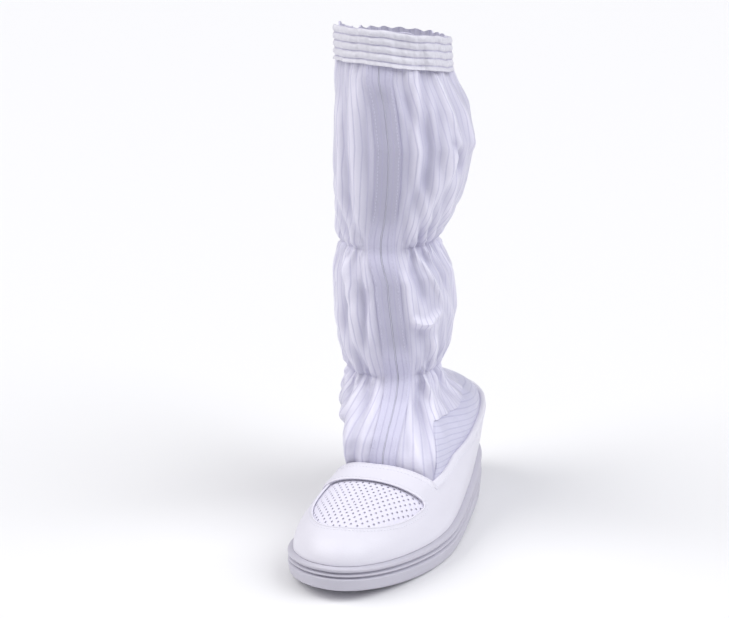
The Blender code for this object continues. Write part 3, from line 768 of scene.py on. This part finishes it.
def makeWindowBead():
    points, normals = onVamp(windowOutline(), 0.0002)
    for _ in range(2):
        normals = (np.roll(normals, 1, axis=0) + 2 * normals + np.roll(normals, -1, axis=0)) / 4
    normals /= np.linalg.norm(normals, axis=1, keepdims=True)
    bead = sweptPiece("window_bead", points, normals, roundProfile(windowShape["beadRadius"]), upperLook,
                      closed=True)
    return hold(bead, "coated_upper")


makeWindowBead()

netSizes = {"cellWide": 0.0047, "cellLong": 0.0078, "holeShare": 0.38, "edgeInset": 0.0021, "crown": 0.0012,
            "wall": 0.0007, "liningUnder": 0.0007}


def insideWindow(x, y, grow):
    outlinePoints = windowOutline(grow)
    inside = False
    count = len(outlinePoints)
    for k in range(count):
        x1, y1 = outlinePoints[k]
        x2, y2 = outlinePoints[(k + 1) % count]
        if (y1 > y) != (y2 > y) and x < (x2 - x1) * (y - y1) / (y2 - y1) + x1:
            inside = not inside
    return inside


def netHeight(x, y):
    # The net stands up a little in the window's middle
    shape = windowShape
    across = (x - shape["middle"] - shape["lean"] * 0.5) / shape["halfWidth"]
    along = (shape["top"] - y) / shape["depth"]
    middle = max(0.0, 1 - across**2) * max(0.0, 1 - (2 * along - 0.9) ** 2)
    return netSizes["edgeInset"] - netSizes["crown"] * middle


def makeNet():
    # Diamond cells in staggered rows, each with its hole
    wide, long = netSizes["cellWide"], netSizes["cellLong"]
    corners, vertices, faces = {}, [], []
    middle, top = windowShape["middle"], windowShape["top"] + 0.004

    def corner(key):
        if key not in corners:
            corners[key] = len(vertices)
            vertices.append((key[0] * wide / 2 + middle, top - key[1] * long / 2))
        return corners[key]

    halfCells = int(0.048 / (wide / 2))
    for i in range(-halfCells, halfCells):
        for j in range(1, int(0.078 / (long / 2))):
            if (i + j) % 2:
                continue
            x, y = i * wide / 2 + middle, top - j * long / 2
            if not insideWindow(x, y, 0.0042):
                continue
            ring = [corner((i - 1, j)), corner((i, j + 1)), corner((i + 1, j)), corner((i, j - 1))]
            inner = []
            for dx, dy in ((-1, 0), (0, -1), (1, 0), (0, 1)):
                inner.append(len(vertices))
                holeShare = netSizes["holeShare"]
                vertices.append((x + dx * wide / 2 * holeShare, y + dy * long / 2 * holeShare))
            for k in range(4):
                faces.append((ring[k], ring[(k + 1) % 4], inner[(k + 1) % 4], inner[k]))
    plan = np.array(vertices)
    points, normals = onVamp(plan)
    insets = np.array([netHeight(x, y) for x, y in plan])
    points = points - insets[:, None] * normals
    net = meshPiece("toe_net_woven", points, faces, netLook)
    thicken = net.modifiers.new("Wall", "SOLIDIFY")
    thicken.thickness = netSizes["wall"]
    thicken.offset = 0
    smooth = net.modifiers.new("Round", "SUBSURF")
    smooth.levels = smooth.render_levels = 2
    applyAll(net)
    return hold(finishMesh(net, 180), "white_net", "toe_net")


def makeLining():
    wide = np.linspace(-0.048, 0.044, 60)
    deep = np.linspace(-0.124, -0.046, 56)
    plan = np.array([(x, y) for y in deep for x in wide])
    points, normals = onVamp(plan)
    insets = np.array([netHeight(x, y) + netSizes["liningUnder"] for x, y in plan])
    grid = (points - insets[:, None] * normals).reshape(len(deep), len(wide), 3)
    mask = np.array([[insideWindow(x, y, 0.006) for x in wide] for y in deep])
    lining = gridPiece("toe_lining", grid, liningLook, wall=0.0005, keep=mask)
    return hold(lining, "insole_cloth")


net = makeNet()
makeLining()
print("net done", len(net.data.polygons))

# Instep strap, with two rows of stitching, and the collar's binding
strapSizes = {"wall": 0.0014, "across": 20, "along": 120, "ends": 4.0, "edge": 0.10, "roll": 0.0009,
              "stitchRows": (0.10, 0.24, 0.90)}
bindingSizes = {"deep": 0.0046, "inside": 0.0007, "wall": 0.0009, "along": 300}


def strapSurface(across, level, out):
    share = lastShape["throat"] + across * (lastShape["strapEnd"] - lastShape["throat"])
    return lastPoints(share, level) + out[..., None] * lastNormals(share, level)


def strapRise(levels):
    # 1 across the instep and 0 at both ends, where the strap runs into the upper
    ridge, low = lastShape["ridgeLevel"], strapSizes["ends"]
    fromEnd = ridge - np.abs(np.asarray(levels) - ridge) - low
    return ease(fromEnd, 0.0, 1.4)


def makeStrap():
    across = np.linspace(0, 1, strapSizes["across"])
    low = strapSizes["ends"]
    levels = np.linspace(low, 2 * lastShape["ridgeLevel"] - low, strapSizes["along"])
    fromEdge = np.clip(1 - np.minimum(across, 1 - across) / strapSizes["edge"], 0, 1)
    rounded = np.sqrt(np.clip(1 - fromEdge**2, 0, 1))
    roll = strapSizes["roll"] * np.exp(-((across - 0.07) / 0.07) ** 2)
    out = gap + strapSizes["wall"] * (0.55 + 0.45 * rounded) + roll
    rise = 0.12 + 0.88 * strapRise(levels)[:, None]
    grid = strapSurface(across[None, :], levels[:, None], out * rise)
    strap = gridPiece("instep_strap_bound", grid[:, ::-1][::-1], upperLook, wall=0.0011)
    hold(strap, "coated_upper", "instep_strap")
    seams = []
    for row in strapSizes["stitchRows"]:
        place = np.full(len(levels), row)
        lift = float(np.interp(row, across, out)) + 0.0001
        points = strapSurface(place, levels, lift * (0.12 + 0.88 * strapRise(levels)))
        share = lastShape["throat"] + place * (lastShape["strapEnd"] - lastShape["throat"])
        seams.append((points, lastNormals(share, levels)))
    return seams


def makeBinding():
    count = bindingSizes["along"]
    start = 1 - lastShape["throat"]
    share = np.linspace(start - 0.005, 1 + lastShape["throat"] + 0.005, count)
    level = lastShape["collarLevel"]
    edge = lastPoints(share, np.full(count, level))
    normals = lastNormals(share, np.full(count, level - 0.12))
    below = lastPoints(share, np.full(count, level - 0.6))
    down = below - edge
    down /= np.linalg.norm(down, axis=1, keepdims=True)
    wall, deep = bindingSizes["wall"], bindingSizes["deep"]
    inside = -lastShape["wall"] - gap
    section = [(gap, deep), (gap, deep * 0.5), (gap, 0.0004)]
    middle, radius = (gap + inside) / 2, (gap - inside) / 2
    for turn in np.linspace(0, math.pi, 9)[1:-1]:
        section.append((middle + radius * math.cos(turn), -radius * math.sin(turn) * 0.8 + 0.0003))
    section += [(inside, 0.0004), (inside, bindingSizes["inside"])]
    grid = np.array([edge + out * normals + along * down for out, along in section])
    binding = gridPiece("collar_binding_folded", grid, upperLook, wall=wall, inwards=False)
    hold(binding, "coated_upper", "collar_binding")
    seam = edge + (gap + wall + 0.0001) * normals + deep * 0.72 * down
    return [(seam, normals)]


def makeWindowSeam():
    points, normals = onVamp(windowOutline(0.0022), -0.0001)
    return [(np.vstack([points, points[:1]]), np.vstack([normals, normals[:1]]))]


strapSeams = makeStrap()
bindingSeams = makeBinding()
hold(stitchRow(strapSeams + bindingSeams + makeWindowSeam(), "upper_stitching", threadLook), "coated_upper")
print("strap and binding done")

# Leg cloth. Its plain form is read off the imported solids, then folded
legSizes = {
    "axis": (-0.014, 0.046),
    "columns": 224,
    "around": 244,
    "upperRows": 152,
    "lowerRows": 38,
    "join": 0.104,
    "scanLow": 0.036,
    "scanHigh": 0.354,
    "scanRows": 200,
    "wall": 0.0008,
    "stripes": 68,
    "stripePitch": 0.005,
    "gathers": (0.1120, 0.2070),
    "sections": ("shaft_ankle", "shaft_shin", "shaft_calf"),
    "reach": 0.2,
    "radius": 0.045,
    "cornerTurn": -16.2, "cornerHalf": 3.8, "cornerOut": 0.0150, "cornerLow": 0.0030,
}


def nodeTree(*names):
    vertices, faces = [], []
    for name in names:
        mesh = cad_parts[name].data
        start = len(vertices)
        vertices.extend(v.co - Vector(shoeShift) for v in mesh.vertices)
        faces.extend(tuple(start + index for index in face.vertices) for face in mesh.polygons)
    return BVHTree.FromPolygons(vertices, faces)


def scanLeg():
    tree = nodeTree(*legSizes["sections"], "heel_panel")
    axisX, axisY = legSizes["axis"]
    angles = 2 * math.pi * np.arange(legSizes["columns"]) / legSizes["columns"]
    heights = np.linspace(legSizes["scanLow"], legSizes["scanHigh"], legSizes["scanRows"])
    reach = legSizes["reach"]
    radii = np.full((len(heights), len(angles)), np.nan)
    for j, angle in enumerate(angles):
        towards = Vector((math.sin(angle), -math.cos(angle), 0))
        for i, z in enumerate(heights):
            origin = Vector((axisX, axisY, z)) + reach * towards
            spot, normal, index, distance = tree.ray_cast(origin, -towards, reach)
            if spot is not None:
                radii[i, j] = reach - distance
    known = ~np.isnan(radii)
    lows = heights[known.argmax(axis=0)]
    highs = heights[len(heights) - 1 - known[::-1].argmax(axis=0)]
    for j in range(len(angles)):
        radii[:, j] = np.interp(heights, heights[known[:, j]], radii[known[:, j], j])
    return heights, radii, lows, highs


def smoothAround(table, amount):
    spectrum = np.fft.rfft(table, axis=-1)
    waves = np.arange(spectrum.shape[-1])
    spectrum *= np.exp(-0.5 * (waves * amount) ** 2)
    return np.fft.irfft(spectrum, n=table.shape[-1], axis=-1)


def smoothUp(table, passes):
    for _ in range(passes):
        padded = np.vstack([table[:1], table, table[-1:]])
        table = (padded[:-2] + 2 * padded[1:-1] + padded[2:]) / 4
    return table


scanHeights, scanRadii, legLows, legHighs = scanLeg()
scanRadii = smoothUp(smoothAround(scanRadii, 0.075), 2)
legLows = smoothAround(legLows, 0.06) + 0.0012
legHighs = smoothAround(legHighs, 0.3) - 0.0010


def inCorner(angle, half):
    # 1 at the throat's inner corner, where the cloth is drawn into it
    turn = wrapped(np.degrees(angle) - legSizes["cornerTurn"], 360)
    return np.exp(-(turn / half) ** 2)


legLows -= legSizes["cornerLow"] * inCorner(2 * math.pi * np.arange(len(legLows)) / len(legLows), 6.0)
print("leg scanned, lows", round(float(legLows.min()), 4), round(float(legLows.max()), 4))


def ringPlace(angle, count):
    # The two columns on either side of an angle, and how far it lies past the first
    place = np.mod(np.asarray(angle) / (2 * math.pi), 1.0) * count
    index = np.floor(place).astype(int)
    return index % count, (index + 1) % count, place - index


def aroundInterp(table, angle):
    before, after, part = ringPlace(angle, len(table))
    return table[before] * (1 - part) + table[after] * part


def scannedRadius(angle, z):
    low, high = scanHeights[0], scanHeights[-1]
    rows = (np.clip(z, low, high) - low) / (scanHeights[1] - low)
    row = np.clip(np.floor(rows).astype(int), 0, len(scanHeights) - 2)
    up = rows - row
    before, after, part = ringPlace(angle, scanRadii.shape[1])
    below = scanRadii[row, before] * (1 - part) + scanRadii[row, after] * part
    above = scanRadii[row + 1, before] * (1 - part) + scanRadii[row + 1, after] * part
    return below * (1 - up) + above * up


def nodeTurns(name):
    # A node's points as their turn round the leg and their height
    points = np.array([v.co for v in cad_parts[name].data.vertices]) - shoeShift
    axisX, axisY = legSizes["axis"]
    return np.arctan2(points[:, 0] - axisX, -(points[:, 1] - axisY)), points[:, 2]


def zipLine():
    turn, up = nodeTurns("front_zip")
    heights = np.linspace(0.04, 0.36, 160)
    away = up[None] - heights[:, None]
    weights = np.exp(-(away / 0.013) ** 2)
    sums = [(weights * away**power).sum(axis=1) for power in (0, 1, 2)]
    level, slope = (weights * turn).sum(axis=1), (weights * away * turn).sum(axis=1)
    turns = (sums[2] * level - sums[1] * slope) / np.maximum(sums[0] * sums[2] - sums[1] ** 2, 1e-12)
    inside = (heights > up.min()) & (heights < up.max())
    return heights, np.interp(heights, heights[inside], turns[inside])


zipHeights, zipTurns = zipLine()


def zipAngle(z):
    return np.interp(z, zipHeights, zipTurns)


def zipDistance(angle, z, radius):
    return wrapped(angle - zipAngle(z)) * radius


# Main creases: turns in degrees round from the front, the rest in millimetres
creases = {
    "names": ("fromTurn", "fromZ", "toTurn", "toZ", "half", "out"),
    "rows": (
        (-22, 330, -17, 232, 5.2, 3), (-8, 325, -7, 230, 3.4, -2.2), (-44, 318, -38, 228, 5, 2.4),
        (-33, 300, -28, 225, 4, -2), (13, 330, 18, 236, 3.4, 1.6), (25, 330, 27, 250, 4, -2.2),
        (33, 334, 31, 262, 3, 2.4), (42, 330, 38, 240, 4.2, -2.8), (46, 246, 53, 222, 2.4, 2.6),
        (58, 332, 70, 290, 3.4, 4), (70, 292, 56, 250, 3.6, 3.4), (62, 286, 82, 262, 3.6, -3.6),
        (52, 312, 50, 262, 3.6, -2.6), (74, 262, 68, 224, 4.6, 2.6), (84, 306, 98, 270, 4.4, 2.6),
        (100, 310, 96, 230, 6, -2.2), (-38, 200, -22, 166, 3.4, 3.6), (-22, 168, -26, 132, 4.8, 3),
        (-30, 190, -38, 140, 3.6, -2.2), (-18, 203, -4, 176, 2.6, 3.2), (-4, 178, -7, 138, 2.6, 3),
        (-14, 188, -13, 132, 3, -2.8), (-52, 196, -46, 140, 5, 2), (19, 192, 30, 153, 3, 3.8),
        (28, 158, 46, 151, 3.4, 4.2), (43, 152, 63, 160, 3, 3.6), (34, 148, 58, 141, 5, -2.2),
        (30, 196, 42, 166, 3.6, -2.8), (38, 203, 68, 163, 2.2, 3.2), (56, 200, 76, 172, 4, -2.4),
        (60, 156, 52, 128, 3.6, 2.4), (22, 152, 26, 124, 3.4, -2), (50, 107, 44, 62, 3.6, 3.4),
        (38, 107, 31, 66, 3.2, -2.6), (27, 107, 24, 60, 3, 2.8), (66, 106, 60, 76, 4, 2.2),
        (-19, 105, -42, 72, 4, 3.4), (-8, 106, -12, 66, 3, -2.4), (-2, 106, -3, 60, 3, 2.2),
        (-36, 102, -44, 62, 3.6, -2.2), (-22, 84, -28, 56, 3, -1.8), (150, 320, 160, 235, 7, 2.4),
        (190, 330, 184, 240, 6, -2.6), (225, 310, 232, 230, 6, 2.4), (262, 320, 256, 235, 6, -2.4),
        (140, 190, 152, 130, 5, 2.2), (180, 196, 172, 128, 5, -2.4), (215, 192, 226, 130, 5, 2.2),
        (258, 196, 250, 135, 5, -2),
    ),
}
foldSizes = {
    "fineCount": 37, "fineOut": 0.0018, "fineReach": 0.0100,
    "coarseCount": 19, "coarseOut": 0.0030, "coarseReach": 0.032,
    "longCount": 11, "longOut": 0.0013,
    "zipValley": 0.0046, "zipValleyHalf": 0.0115,
    "hemCount": 33, "hemOut": 0.0008, "hemReach": 0.030,
    "facing": 0.0110,
    "linePinch": 0.0013, "lineHalf": 0.0016,
    "ruffle": 0.0017, "ruffleUp": 0.0042, "ruffleHalf": 0.0022,
    "calm": 0.45, "calmHalf": 0.004, "belowShare": 0.85, "hemHigh": 0.334,
    "valleys": ((1.0, 0.215, 0.24, 0.31, 0.335), (0.6, 0.125, 0.14, 0.185, 0.2)),
    "lowFront": (0.068, 0.082), "lowCount": 37, "lowOut": 0.0012,
}


def wavy(angle, count, seed):
    # Uneven waves round the leg
    rng = np.random.default_rng(seed)
    phases = rng.uniform(0, 2 * math.pi, 5)
    warp = 0.9 * np.sin(3 * angle + phases[0]) + 0.7 * np.sin(5 * angle + phases[1])
    level = 0.75 + 0.35 * np.sin(4 * angle + phases[2]) * np.sin(7 * angle + phases[3])
    return level * np.sin(count * angle + warp + phases[4])


def creaseDepth(angle, z, radius):
    total = np.zeros(np.shape(angle))
    for row in creases["rows"]:
        fromTurn, toTurn = row[0], row[2]
        fromZ, toZ, half, out = (row[place] / 1000 for place in (1, 3, 4, 5))
        x, y = wrapped(angle - math.radians(fromTurn)) * radius, z - fromZ
        endX = math.radians(toTurn - fromTurn) * legSizes["radius"]
        endY = toZ - fromZ
        length = math.hypot(endX, endY)
        along = (x * endX + y * endY) / length**2
        aside = (x * endY - y * endX) / length
        taper = ease(along, -0.12, 0.25) * (1 - ease(along, 0.72, 1.12))
        wander = 0.0008 * np.sin(along * 5.0 + fromTurn)
        total += out * taper * np.exp(-((aside + wander) / half) ** 2)
    return total


def folds(angle, z, radius):
    sizes = foldSizes
    away = np.abs(zipDistance(angle, z, radius))
    free = ease(away, sizes["facing"] - 0.001, sizes["facing"] + 0.007)
    total = np.zeros(np.shape(angle))
    for number, gather in enumerate(legSizes["gathers"]):
        up = z - gather
        side = np.where(up > 0, 1.0, sizes["belowShare"])
        fine = wavy(angle, sizes["fineCount"], 11 + number) * sizes["fineOut"]
        coarse = wavy(angle + 0.4 * up / 0.05, sizes["coarseCount"], 21 + number) * sizes["coarseOut"]
        rise = 1 - sizes["calm"] * np.exp(-(up / sizes["calmHalf"]) ** 2)
        total += free * fine * rise * np.exp(-(up / sizes["fineReach"]) ** 2)
        total += free * coarse * side * rise * np.exp(-np.abs(up) / sizes["coarseReach"])
        total -= free * sizes["linePinch"] * np.exp(-(up / sizes["lineHalf"]) ** 2)
        puckers = np.maximum(wavy(angle, sizes["fineCount"] + 6, 31 + number), 0)
        beside = (np.abs(up) - sizes["ruffleUp"]) / sizes["ruffleHalf"]
        total += free * sizes["ruffle"] * puckers * np.exp(-(beside**2))
    longWaves = wavy(angle + 0.3 * np.sin(z * 40), sizes["longCount"], 41) * sizes["longOut"]
    total += free * longWaves
    hem = np.exp(-np.maximum(sizes["hemHigh"] - z, 0) / sizes["hemReach"])
    total += free * hem * wavy(angle, sizes["hemCount"], 51) * sizes["hemOut"]
    valley = sum(share * ease(z, a, b) * (1 - ease(z, c, d)) for share, a, b, c, d in sizes["valleys"])
    total -= sizes["zipValley"] * valley * np.exp(-(away / sizes["zipValleyHalf"]) ** 2)
    lowFront = (1 - ease(z, *sizes["lowFront"])) * np.maximum(np.cos(angle), 0) ** 0.5
    total += free * lowFront * wavy(angle, sizes["lowCount"], 61) * sizes["lowOut"]
    total += creaseDepth(angle, z, radius) * (0.35 + 0.65 * free)
    tucked = ease(z - aroundInterp(legLows, angle), 0.002, 0.012)
    flat = 1 - 0.8 * ease(seamHeight(angle) - z, -0.004, 0.004)
    return total * tucked * flat


def legPoints(angle, z, out=0.0, folded=True):
    angle, z = np.broadcast_arrays(np.asarray(angle, float), np.asarray(z, float))
    radius = scannedRadius(angle, z)
    if folded:
        radius = radius + folds(angle, z, radius)
    corner = legSizes["cornerOut"] * inCorner(angle, legSizes["cornerHalf"])
    radius = radius + out + corner * (1 - ease(z, 0.046, 0.076))
    axisX, axisY = legSizes["axis"]
    return np.stack([axisX + radius * np.sin(angle), axisY - radius * np.cos(angle), z], axis=-1)


# The heel panel lies between the front panel's two edges, under an arched seam
panelSizes = {"outerEdge": 33, "innerEdge": -22, "slants": (11, 16), "seamSide": 0.0830, "seamBack": 0.0900,
              "lap": 0.004, "rows": 34, "columns": 190, "under": 0.0009,
              "snug": 0.0012, "meet": 0.0014, "stripePitch": 0.0035, "fan": 0.0072}


def behindPanel(angle):
    # 1 between the front panel's edges, seen from the back, and 0 in front of them
    degrees = np.degrees(np.mod(angle, 2 * math.pi))
    outer, inner = panelSizes["outerEdge"], 360 + panelSizes["innerEdge"]
    return (degrees > outer) & (degrees < inner)


def seamHeight(angle):
    # The front panel's slanting edges, then the arched seam round the heel
    sizes = panelSizes
    back = (1 - np.cos(angle)) / 2
    arch = sizes["seamSide"] + (sizes["seamBack"] - sizes["seamSide"]) * ease(back, 0.3, 0.9)
    degrees = np.degrees(np.mod(angle, 2 * math.pi))
    past = np.minimum(
        (degrees - sizes["outerEdge"]) / sizes["slants"][0],
        (360 + sizes["innerEdge"] - degrees) / sizes["slants"][1],
    )
    low = aroundInterp(legLows, angle)
    return low + (arch - low) * np.sin(np.clip(past, 0, 1) * math.pi / 2)


def legAngles():
    # Columns round the leg, closer together where the front panel's edges run
    turns = np.linspace(0, 360, 1441)
    edges = (panelSizes["outerEdge"] + 5, 355 + panelSizes["innerEdge"])
    close = 1 + 1.6 * sum(np.exp(-((turns - edge) / 8) ** 2) for edge in edges)
    walked = np.concatenate([[0], np.cumsum((close[1:] + close[:-1]) / 2)])
    count = legSizes["around"]
    return np.radians(np.interp(np.arange(count) / count, walked / walked[-1], turns))


def makeShaft():
    angles = legAngles()
    starts = np.where(behindPanel(angles), seamHeight(angles), aroundInterp(legLows, angles))
    highs = aroundInterp(legHighs, angles)
    low = np.linspace(0, 1, legSizes["lowerRows"])[:-1, None]
    high = np.linspace(0, 1, legSizes["upperRows"])[:, None]
    join = legSizes["join"]
    z = np.vstack([starts + (join - starts) * low, join + (highs - join) * high])
    angle = np.broadcast_to(angles, z.shape)
    edge = 0.0007 * np.exp(-(z - starts) / 0.0035) * behindPanel(angles)
    grid = legPoints(angle, z, edge)
    # Fold depth for the painted shade in troughs and painted highlight on ridges
    paintedFoldShade = folds(angle, z, scannedRadius(angle, z))
    count = legSizes["stripes"]
    turns = np.concatenate([angles, [2 * math.pi]])
    drift = zipAngle(z[:, :1])
    follow = (1 + np.cos(turns - drift)) / 2
    u = (turns - drift * follow) / (2 * math.pi) * count
    v = z / legSizes["stripePitch"]
    return hold(
        gridPiece("shaft_cloth", grid, clothWhite, wall=legSizes["wall"], wraps=True, uv=(u, v), paintedFoldShade=paintedFoldShade),
        "striped_cloth", *legSizes["sections"],
    )


def makePanel():
    sizes = panelSizes
    outer, inner = math.radians(sizes["outerEdge"] - 3), math.radians(363 + sizes["innerEdge"])
    angles = np.linspace(outer, inner, sizes["columns"])
    lows = aroundInterp(legLows, angles)
    highs = seamHeight(angles) + sizes["lap"]
    part = np.linspace(0, 1, sizes["rows"])[:, None]
    z = lows + (highs - lows) * part
    angle = np.broadcast_to(angles, z.shape)
    laid = ease(highs - z, 0.003, 0.009)
    snug = sizes["snug"] * laid + sizes["meet"] * np.exp(-(z - lows) / 0.004)
    grid = legPoints(angle, z, snug - sizes["under"] * (1 - laid))
    arc = np.broadcast_to(np.linspace(0, 40, sizes["columns"]), z.shape)
    rise = (z - lows.min() + sizes["fan"] * (1 - np.cos(angle))) / sizes["stripePitch"]
    return hold(
        gridPiece("heel_panel_cloth", grid, clothLevel, wall=legSizes["wall"], uv=(arc, rise)),
        "striped_cloth", "heel_panel",
    )


shaft = makeShaft()
makePanel()
print("shaft done", len(shaft.data.polygons))

zipSizes = {"high": 0.3430, "rows": 150, "slit": 0.0006, "facingOut": 0.0092,
            "wall": 0.0009, "out": 0.0002, "columns": 12, "coil": 0.0013}


def zipLow(side):
    # Where the facings vanish behind the strap
    return aroundInterp(legLows, zipAngle(0.055) + side / legSizes["radius"]) + 0.0008


def stripAlongZip(name, fromSide, toSide, uvStart):
    side = np.linspace(fromSide, toSide, zipSizes["columns"])[None, :]
    low = zipLow(side)
    z = low + (zipSizes["high"] - low) * np.linspace(0, 1, zipSizes["rows"])[:, None]
    turn = zipAngle(z)
    radius = scannedRadius(turn + side / legSizes["radius"], z + 0 * side)
    angle = turn + side / radius
    grid = legPoints(angle, z + 0 * side, zipSizes["out"])
    u = uvStart + (side + 0 * z) / legSizes["stripePitch"]
    v = (z + 0 * side) / legSizes["stripePitch"]
    # Fold depth for the painted shade in troughs and painted highlight on ridges
    paintedFoldShade = folds(angle, z, radius)
    return gridPiece(name, grid, clothFacingsPaintedShade, wall=zipSizes["wall"], inwards=False, uv=(u, v), paintedFoldShade=paintedFoldShade)


def zipSeam(side, out):
    z = np.linspace(float(zipLow(side)) + 0.001, zipSizes["high"] - 0.002, 260)
    turn = zipAngle(z)
    radius = scannedRadius(turn, z)
    points = legPoints(turn + side / radius, z, out)
    axis = np.array([*legSizes["axis"], 0.0])
    normals = points - axis
    normals[:, 2] = 0
    normals /= np.linalg.norm(normals, axis=1, keepdims=True)
    return points, normals


def makeZip():
    far, slit = zipSizes["facingOut"], zipSizes["slit"]
    for node, *place in (("zip_facing_outer", slit, far, 0.1), ("zip_facing_inner", -far, -slit, -0.1)):
        hold(stripAlongZip(node + "_cloth", *place), "striped_cloth", node)
    points, normals = zipSeam(0.0, 0.0003)
    coil = sweptPiece("front_zip_coil", points, normals, roundProfile(zipSizes["coil"] / 2, 8), zipLook)
    hold(coil, "white_zip", "front_zip")
    lift = zipSizes["wall"] + 0.0003
    return [zipSeam(far - 0.0016, lift), zipSeam(-far + 0.0016, lift)]


zipSeams = makeZip()

elasticSizes = {"rows": ((0.1120, 0.0048), (0.2070, 0.0048)), "names": ("ankle_elastic", "calf_elastic"),
                "inset": 0.0042, "wall": 0.0010}


def makeElastics():
    for (middle, half), node in zip(elasticSizes["rows"], elasticSizes["names"]):
        turn = float(zipAngle(middle))
        span = np.linspace(turn + 0.36, turn + 2 * math.pi - 0.36, 150)
        z = np.linspace(middle - half, middle + half, 5)[:, None] + 0 * span
        grid = legPoints(span + 0 * z, z, -elasticSizes["inset"], folded=False)
        piece = gridPiece(node + "_band", grid, elasticLook, wall=elasticSizes["wall"])
        hold(piece, "elastic", node)


makeElastics()

# Hem ruffle and closure band round the mouth
hemSizes = {"low": 0.0160, "rise": 0.0068, "inset": 0.0016, "wall": 0.0011, "columns": 300, "rows": 16,
            "waves": 34, "waveOut": 0.0012, "waveUp": 0.0011,
            "bunchAt": -84, "bunchHalf": 15, "bunchUp": 0.0040}
bandSizes = {
    "turns": (-75, -30, 0, 20, 40, 60, 80, 95),
    "tops": (0.3632, 0.3646, 0.3628, 0.3610, 0.3592, 0.3573, 0.3552, 0.3545),
    "deep": 0.0240, "out": 0.0020, "rolls": 4.5, "rollOut": 0.0015,
    "rows": 54, "columns": 220, "wall": 0.0012,
}


def makeHem():
    angles = np.linspace(0, 2 * math.pi, hemSizes["columns"], endpoint=False)
    top = aroundInterp(legHighs, angles)
    part = np.linspace(0, 1, hemSizes["rows"])[:, None]
    height = part * (hemSizes["low"] + hemSizes["rise"])
    flare = ease(part, 0.6, 1.0)
    ripple = wavy(angles, hemSizes["waves"], 71)
    turn = wrapped(angles - math.radians(hemSizes["bunchAt"]))
    bunch = np.exp(-(turn / math.radians(hemSizes["bunchHalf"])) ** 2)
    rise = hemSizes["waveUp"] * (1 + 1.5 * bunch) * wavy(angles, 27, 72) + hemSizes["bunchUp"] * bunch
    z = top - hemSizes["low"] + height + flare * rise
    out = -hemSizes["inset"] * (1 - 0.8 * flare) + flare * hemSizes["waveOut"] * ripple
    grid = legPoints(angles + 0 * z, z, out, folded=False)
    count = hemSizes["columns"] + 1
    u = np.broadcast_to(np.linspace(0, legSizes["stripes"], count), (hemSizes["rows"], count))
    v = z / legSizes["stripePitch"]
    piece = gridPiece("top_hem_ruffled", grid, clothWhite, wall=hemSizes["wall"], wraps=True, uv=(u, v))
    return hold(piece, "striped_cloth", "top_hem")


def makeBand():
    # Four and a half soft rolls, with a sunk stitch line between them
    sizes = bandSizes
    turns = nodeTurns("closure_band")[0]
    low, high = float(turns.min()), float(turns.max())
    angles = np.linspace(low, high, sizes["columns"])
    top = through(sizes["turns"], sizes["tops"], np.degrees(angles))
    sag = 0.0004 * np.sin(angles * 5 + 1) + 0.0002 * np.sin(angles * 17)
    part = np.linspace(0, 1, sizes["rows"])[:, None]
    z = top - sizes["deep"] * (1 - part) + sag * (0.4 + 0.6 * part)
    phase = sizes["rolls"] * (1 - part) + 0.06 * np.sin(angles * 6 + 2)
    roll = np.abs(np.sin(math.pi * phase)) ** 0.8
    ends = ease(angles - low, 0.0, 0.12) * ease(high - angles, 0.0, 0.06)
    pucker = 0.0002 * np.sin(angles * 61 + 3 * part) + 0.0003 * np.sin(angles * 29 + 5 * part)
    ripple = 0.0009 * np.sin(angles * 7 + part * 3) + 0.0005 * np.sin(angles * 13 + 2) * (1 - part)
    out = sizes["out"] + sizes["rollOut"] * roll * (0.35 + 0.65 * ends) + ripple + pucker * roll
    grid = legPoints(angles + 0 * z, z, out, folded=False)
    stripes = (high - low) * legSizes["radius"] / legSizes["stripePitch"]
    u = np.broadcast_to(np.linspace(0, stripes, sizes["columns"]), z.shape)
    piece = gridPiece("closure_band_quilted", grid, clothBandPaintedLight, wall=sizes["wall"], uv=(u, phase))
    return hold(piece, "striped_cloth", "closure_band")


makeHem()
makeBand()
hold(stitchRow(zipSeams, "leg_stitching", clothThread), "striped_cloth")
print("leg pieces done")

# Plain pale floor and soft studio light
studio = {
    "floor": (0.86, 0.86, 0.865), "floorSize": 14.0,
    "world": (0.93, 0.93, 1.0), "worldStrength": 0.32,
    "lights": (
        ("left", (44, -66), 1.70, 50, (1.0, 0.99, 0.98)),
        ("right", (44, 86), 1.75, 50, (0.97, 0.98, 1.0)),
        ("top", (12, 20), 0.35, 40, (1.0, 1.0, 1.0)),
    ),
}


def makeStudio():
    bpy.ops.mesh.primitive_plane_add(size=studio["floorSize"])
    floor = bpy.context.active_object
    floor.name = "floor"
    floor.data.materials.append(newMaterial("floor", studio["floor"], 0.75))
    world = bpy.data.worlds.new("studio")
    bpy.context.scene.world = world
    world.use_nodes = True
    shade = world.node_tree.nodes["Background"]
    shade.inputs["Color"].default_value = (*studio["world"], 1)
    shade.inputs["Strength"].default_value = studio["worldStrength"]
    # Each light's tilt off the vertical and its turn, both in degrees
    for name, (tilt, turn), power, spread, colour in studio["lights"]:
        light = newPiece(name, bpy.data.lights.new(name, "SUN"))
        light.data.energy = power
        light.data.angle = math.radians(spread)
        light.data.color = colour
        light.rotation_euler = (math.radians(tilt), 0, math.radians(turn))


makeStudio()
bpy.context.scene.view_settings.view_transform = "Standard"
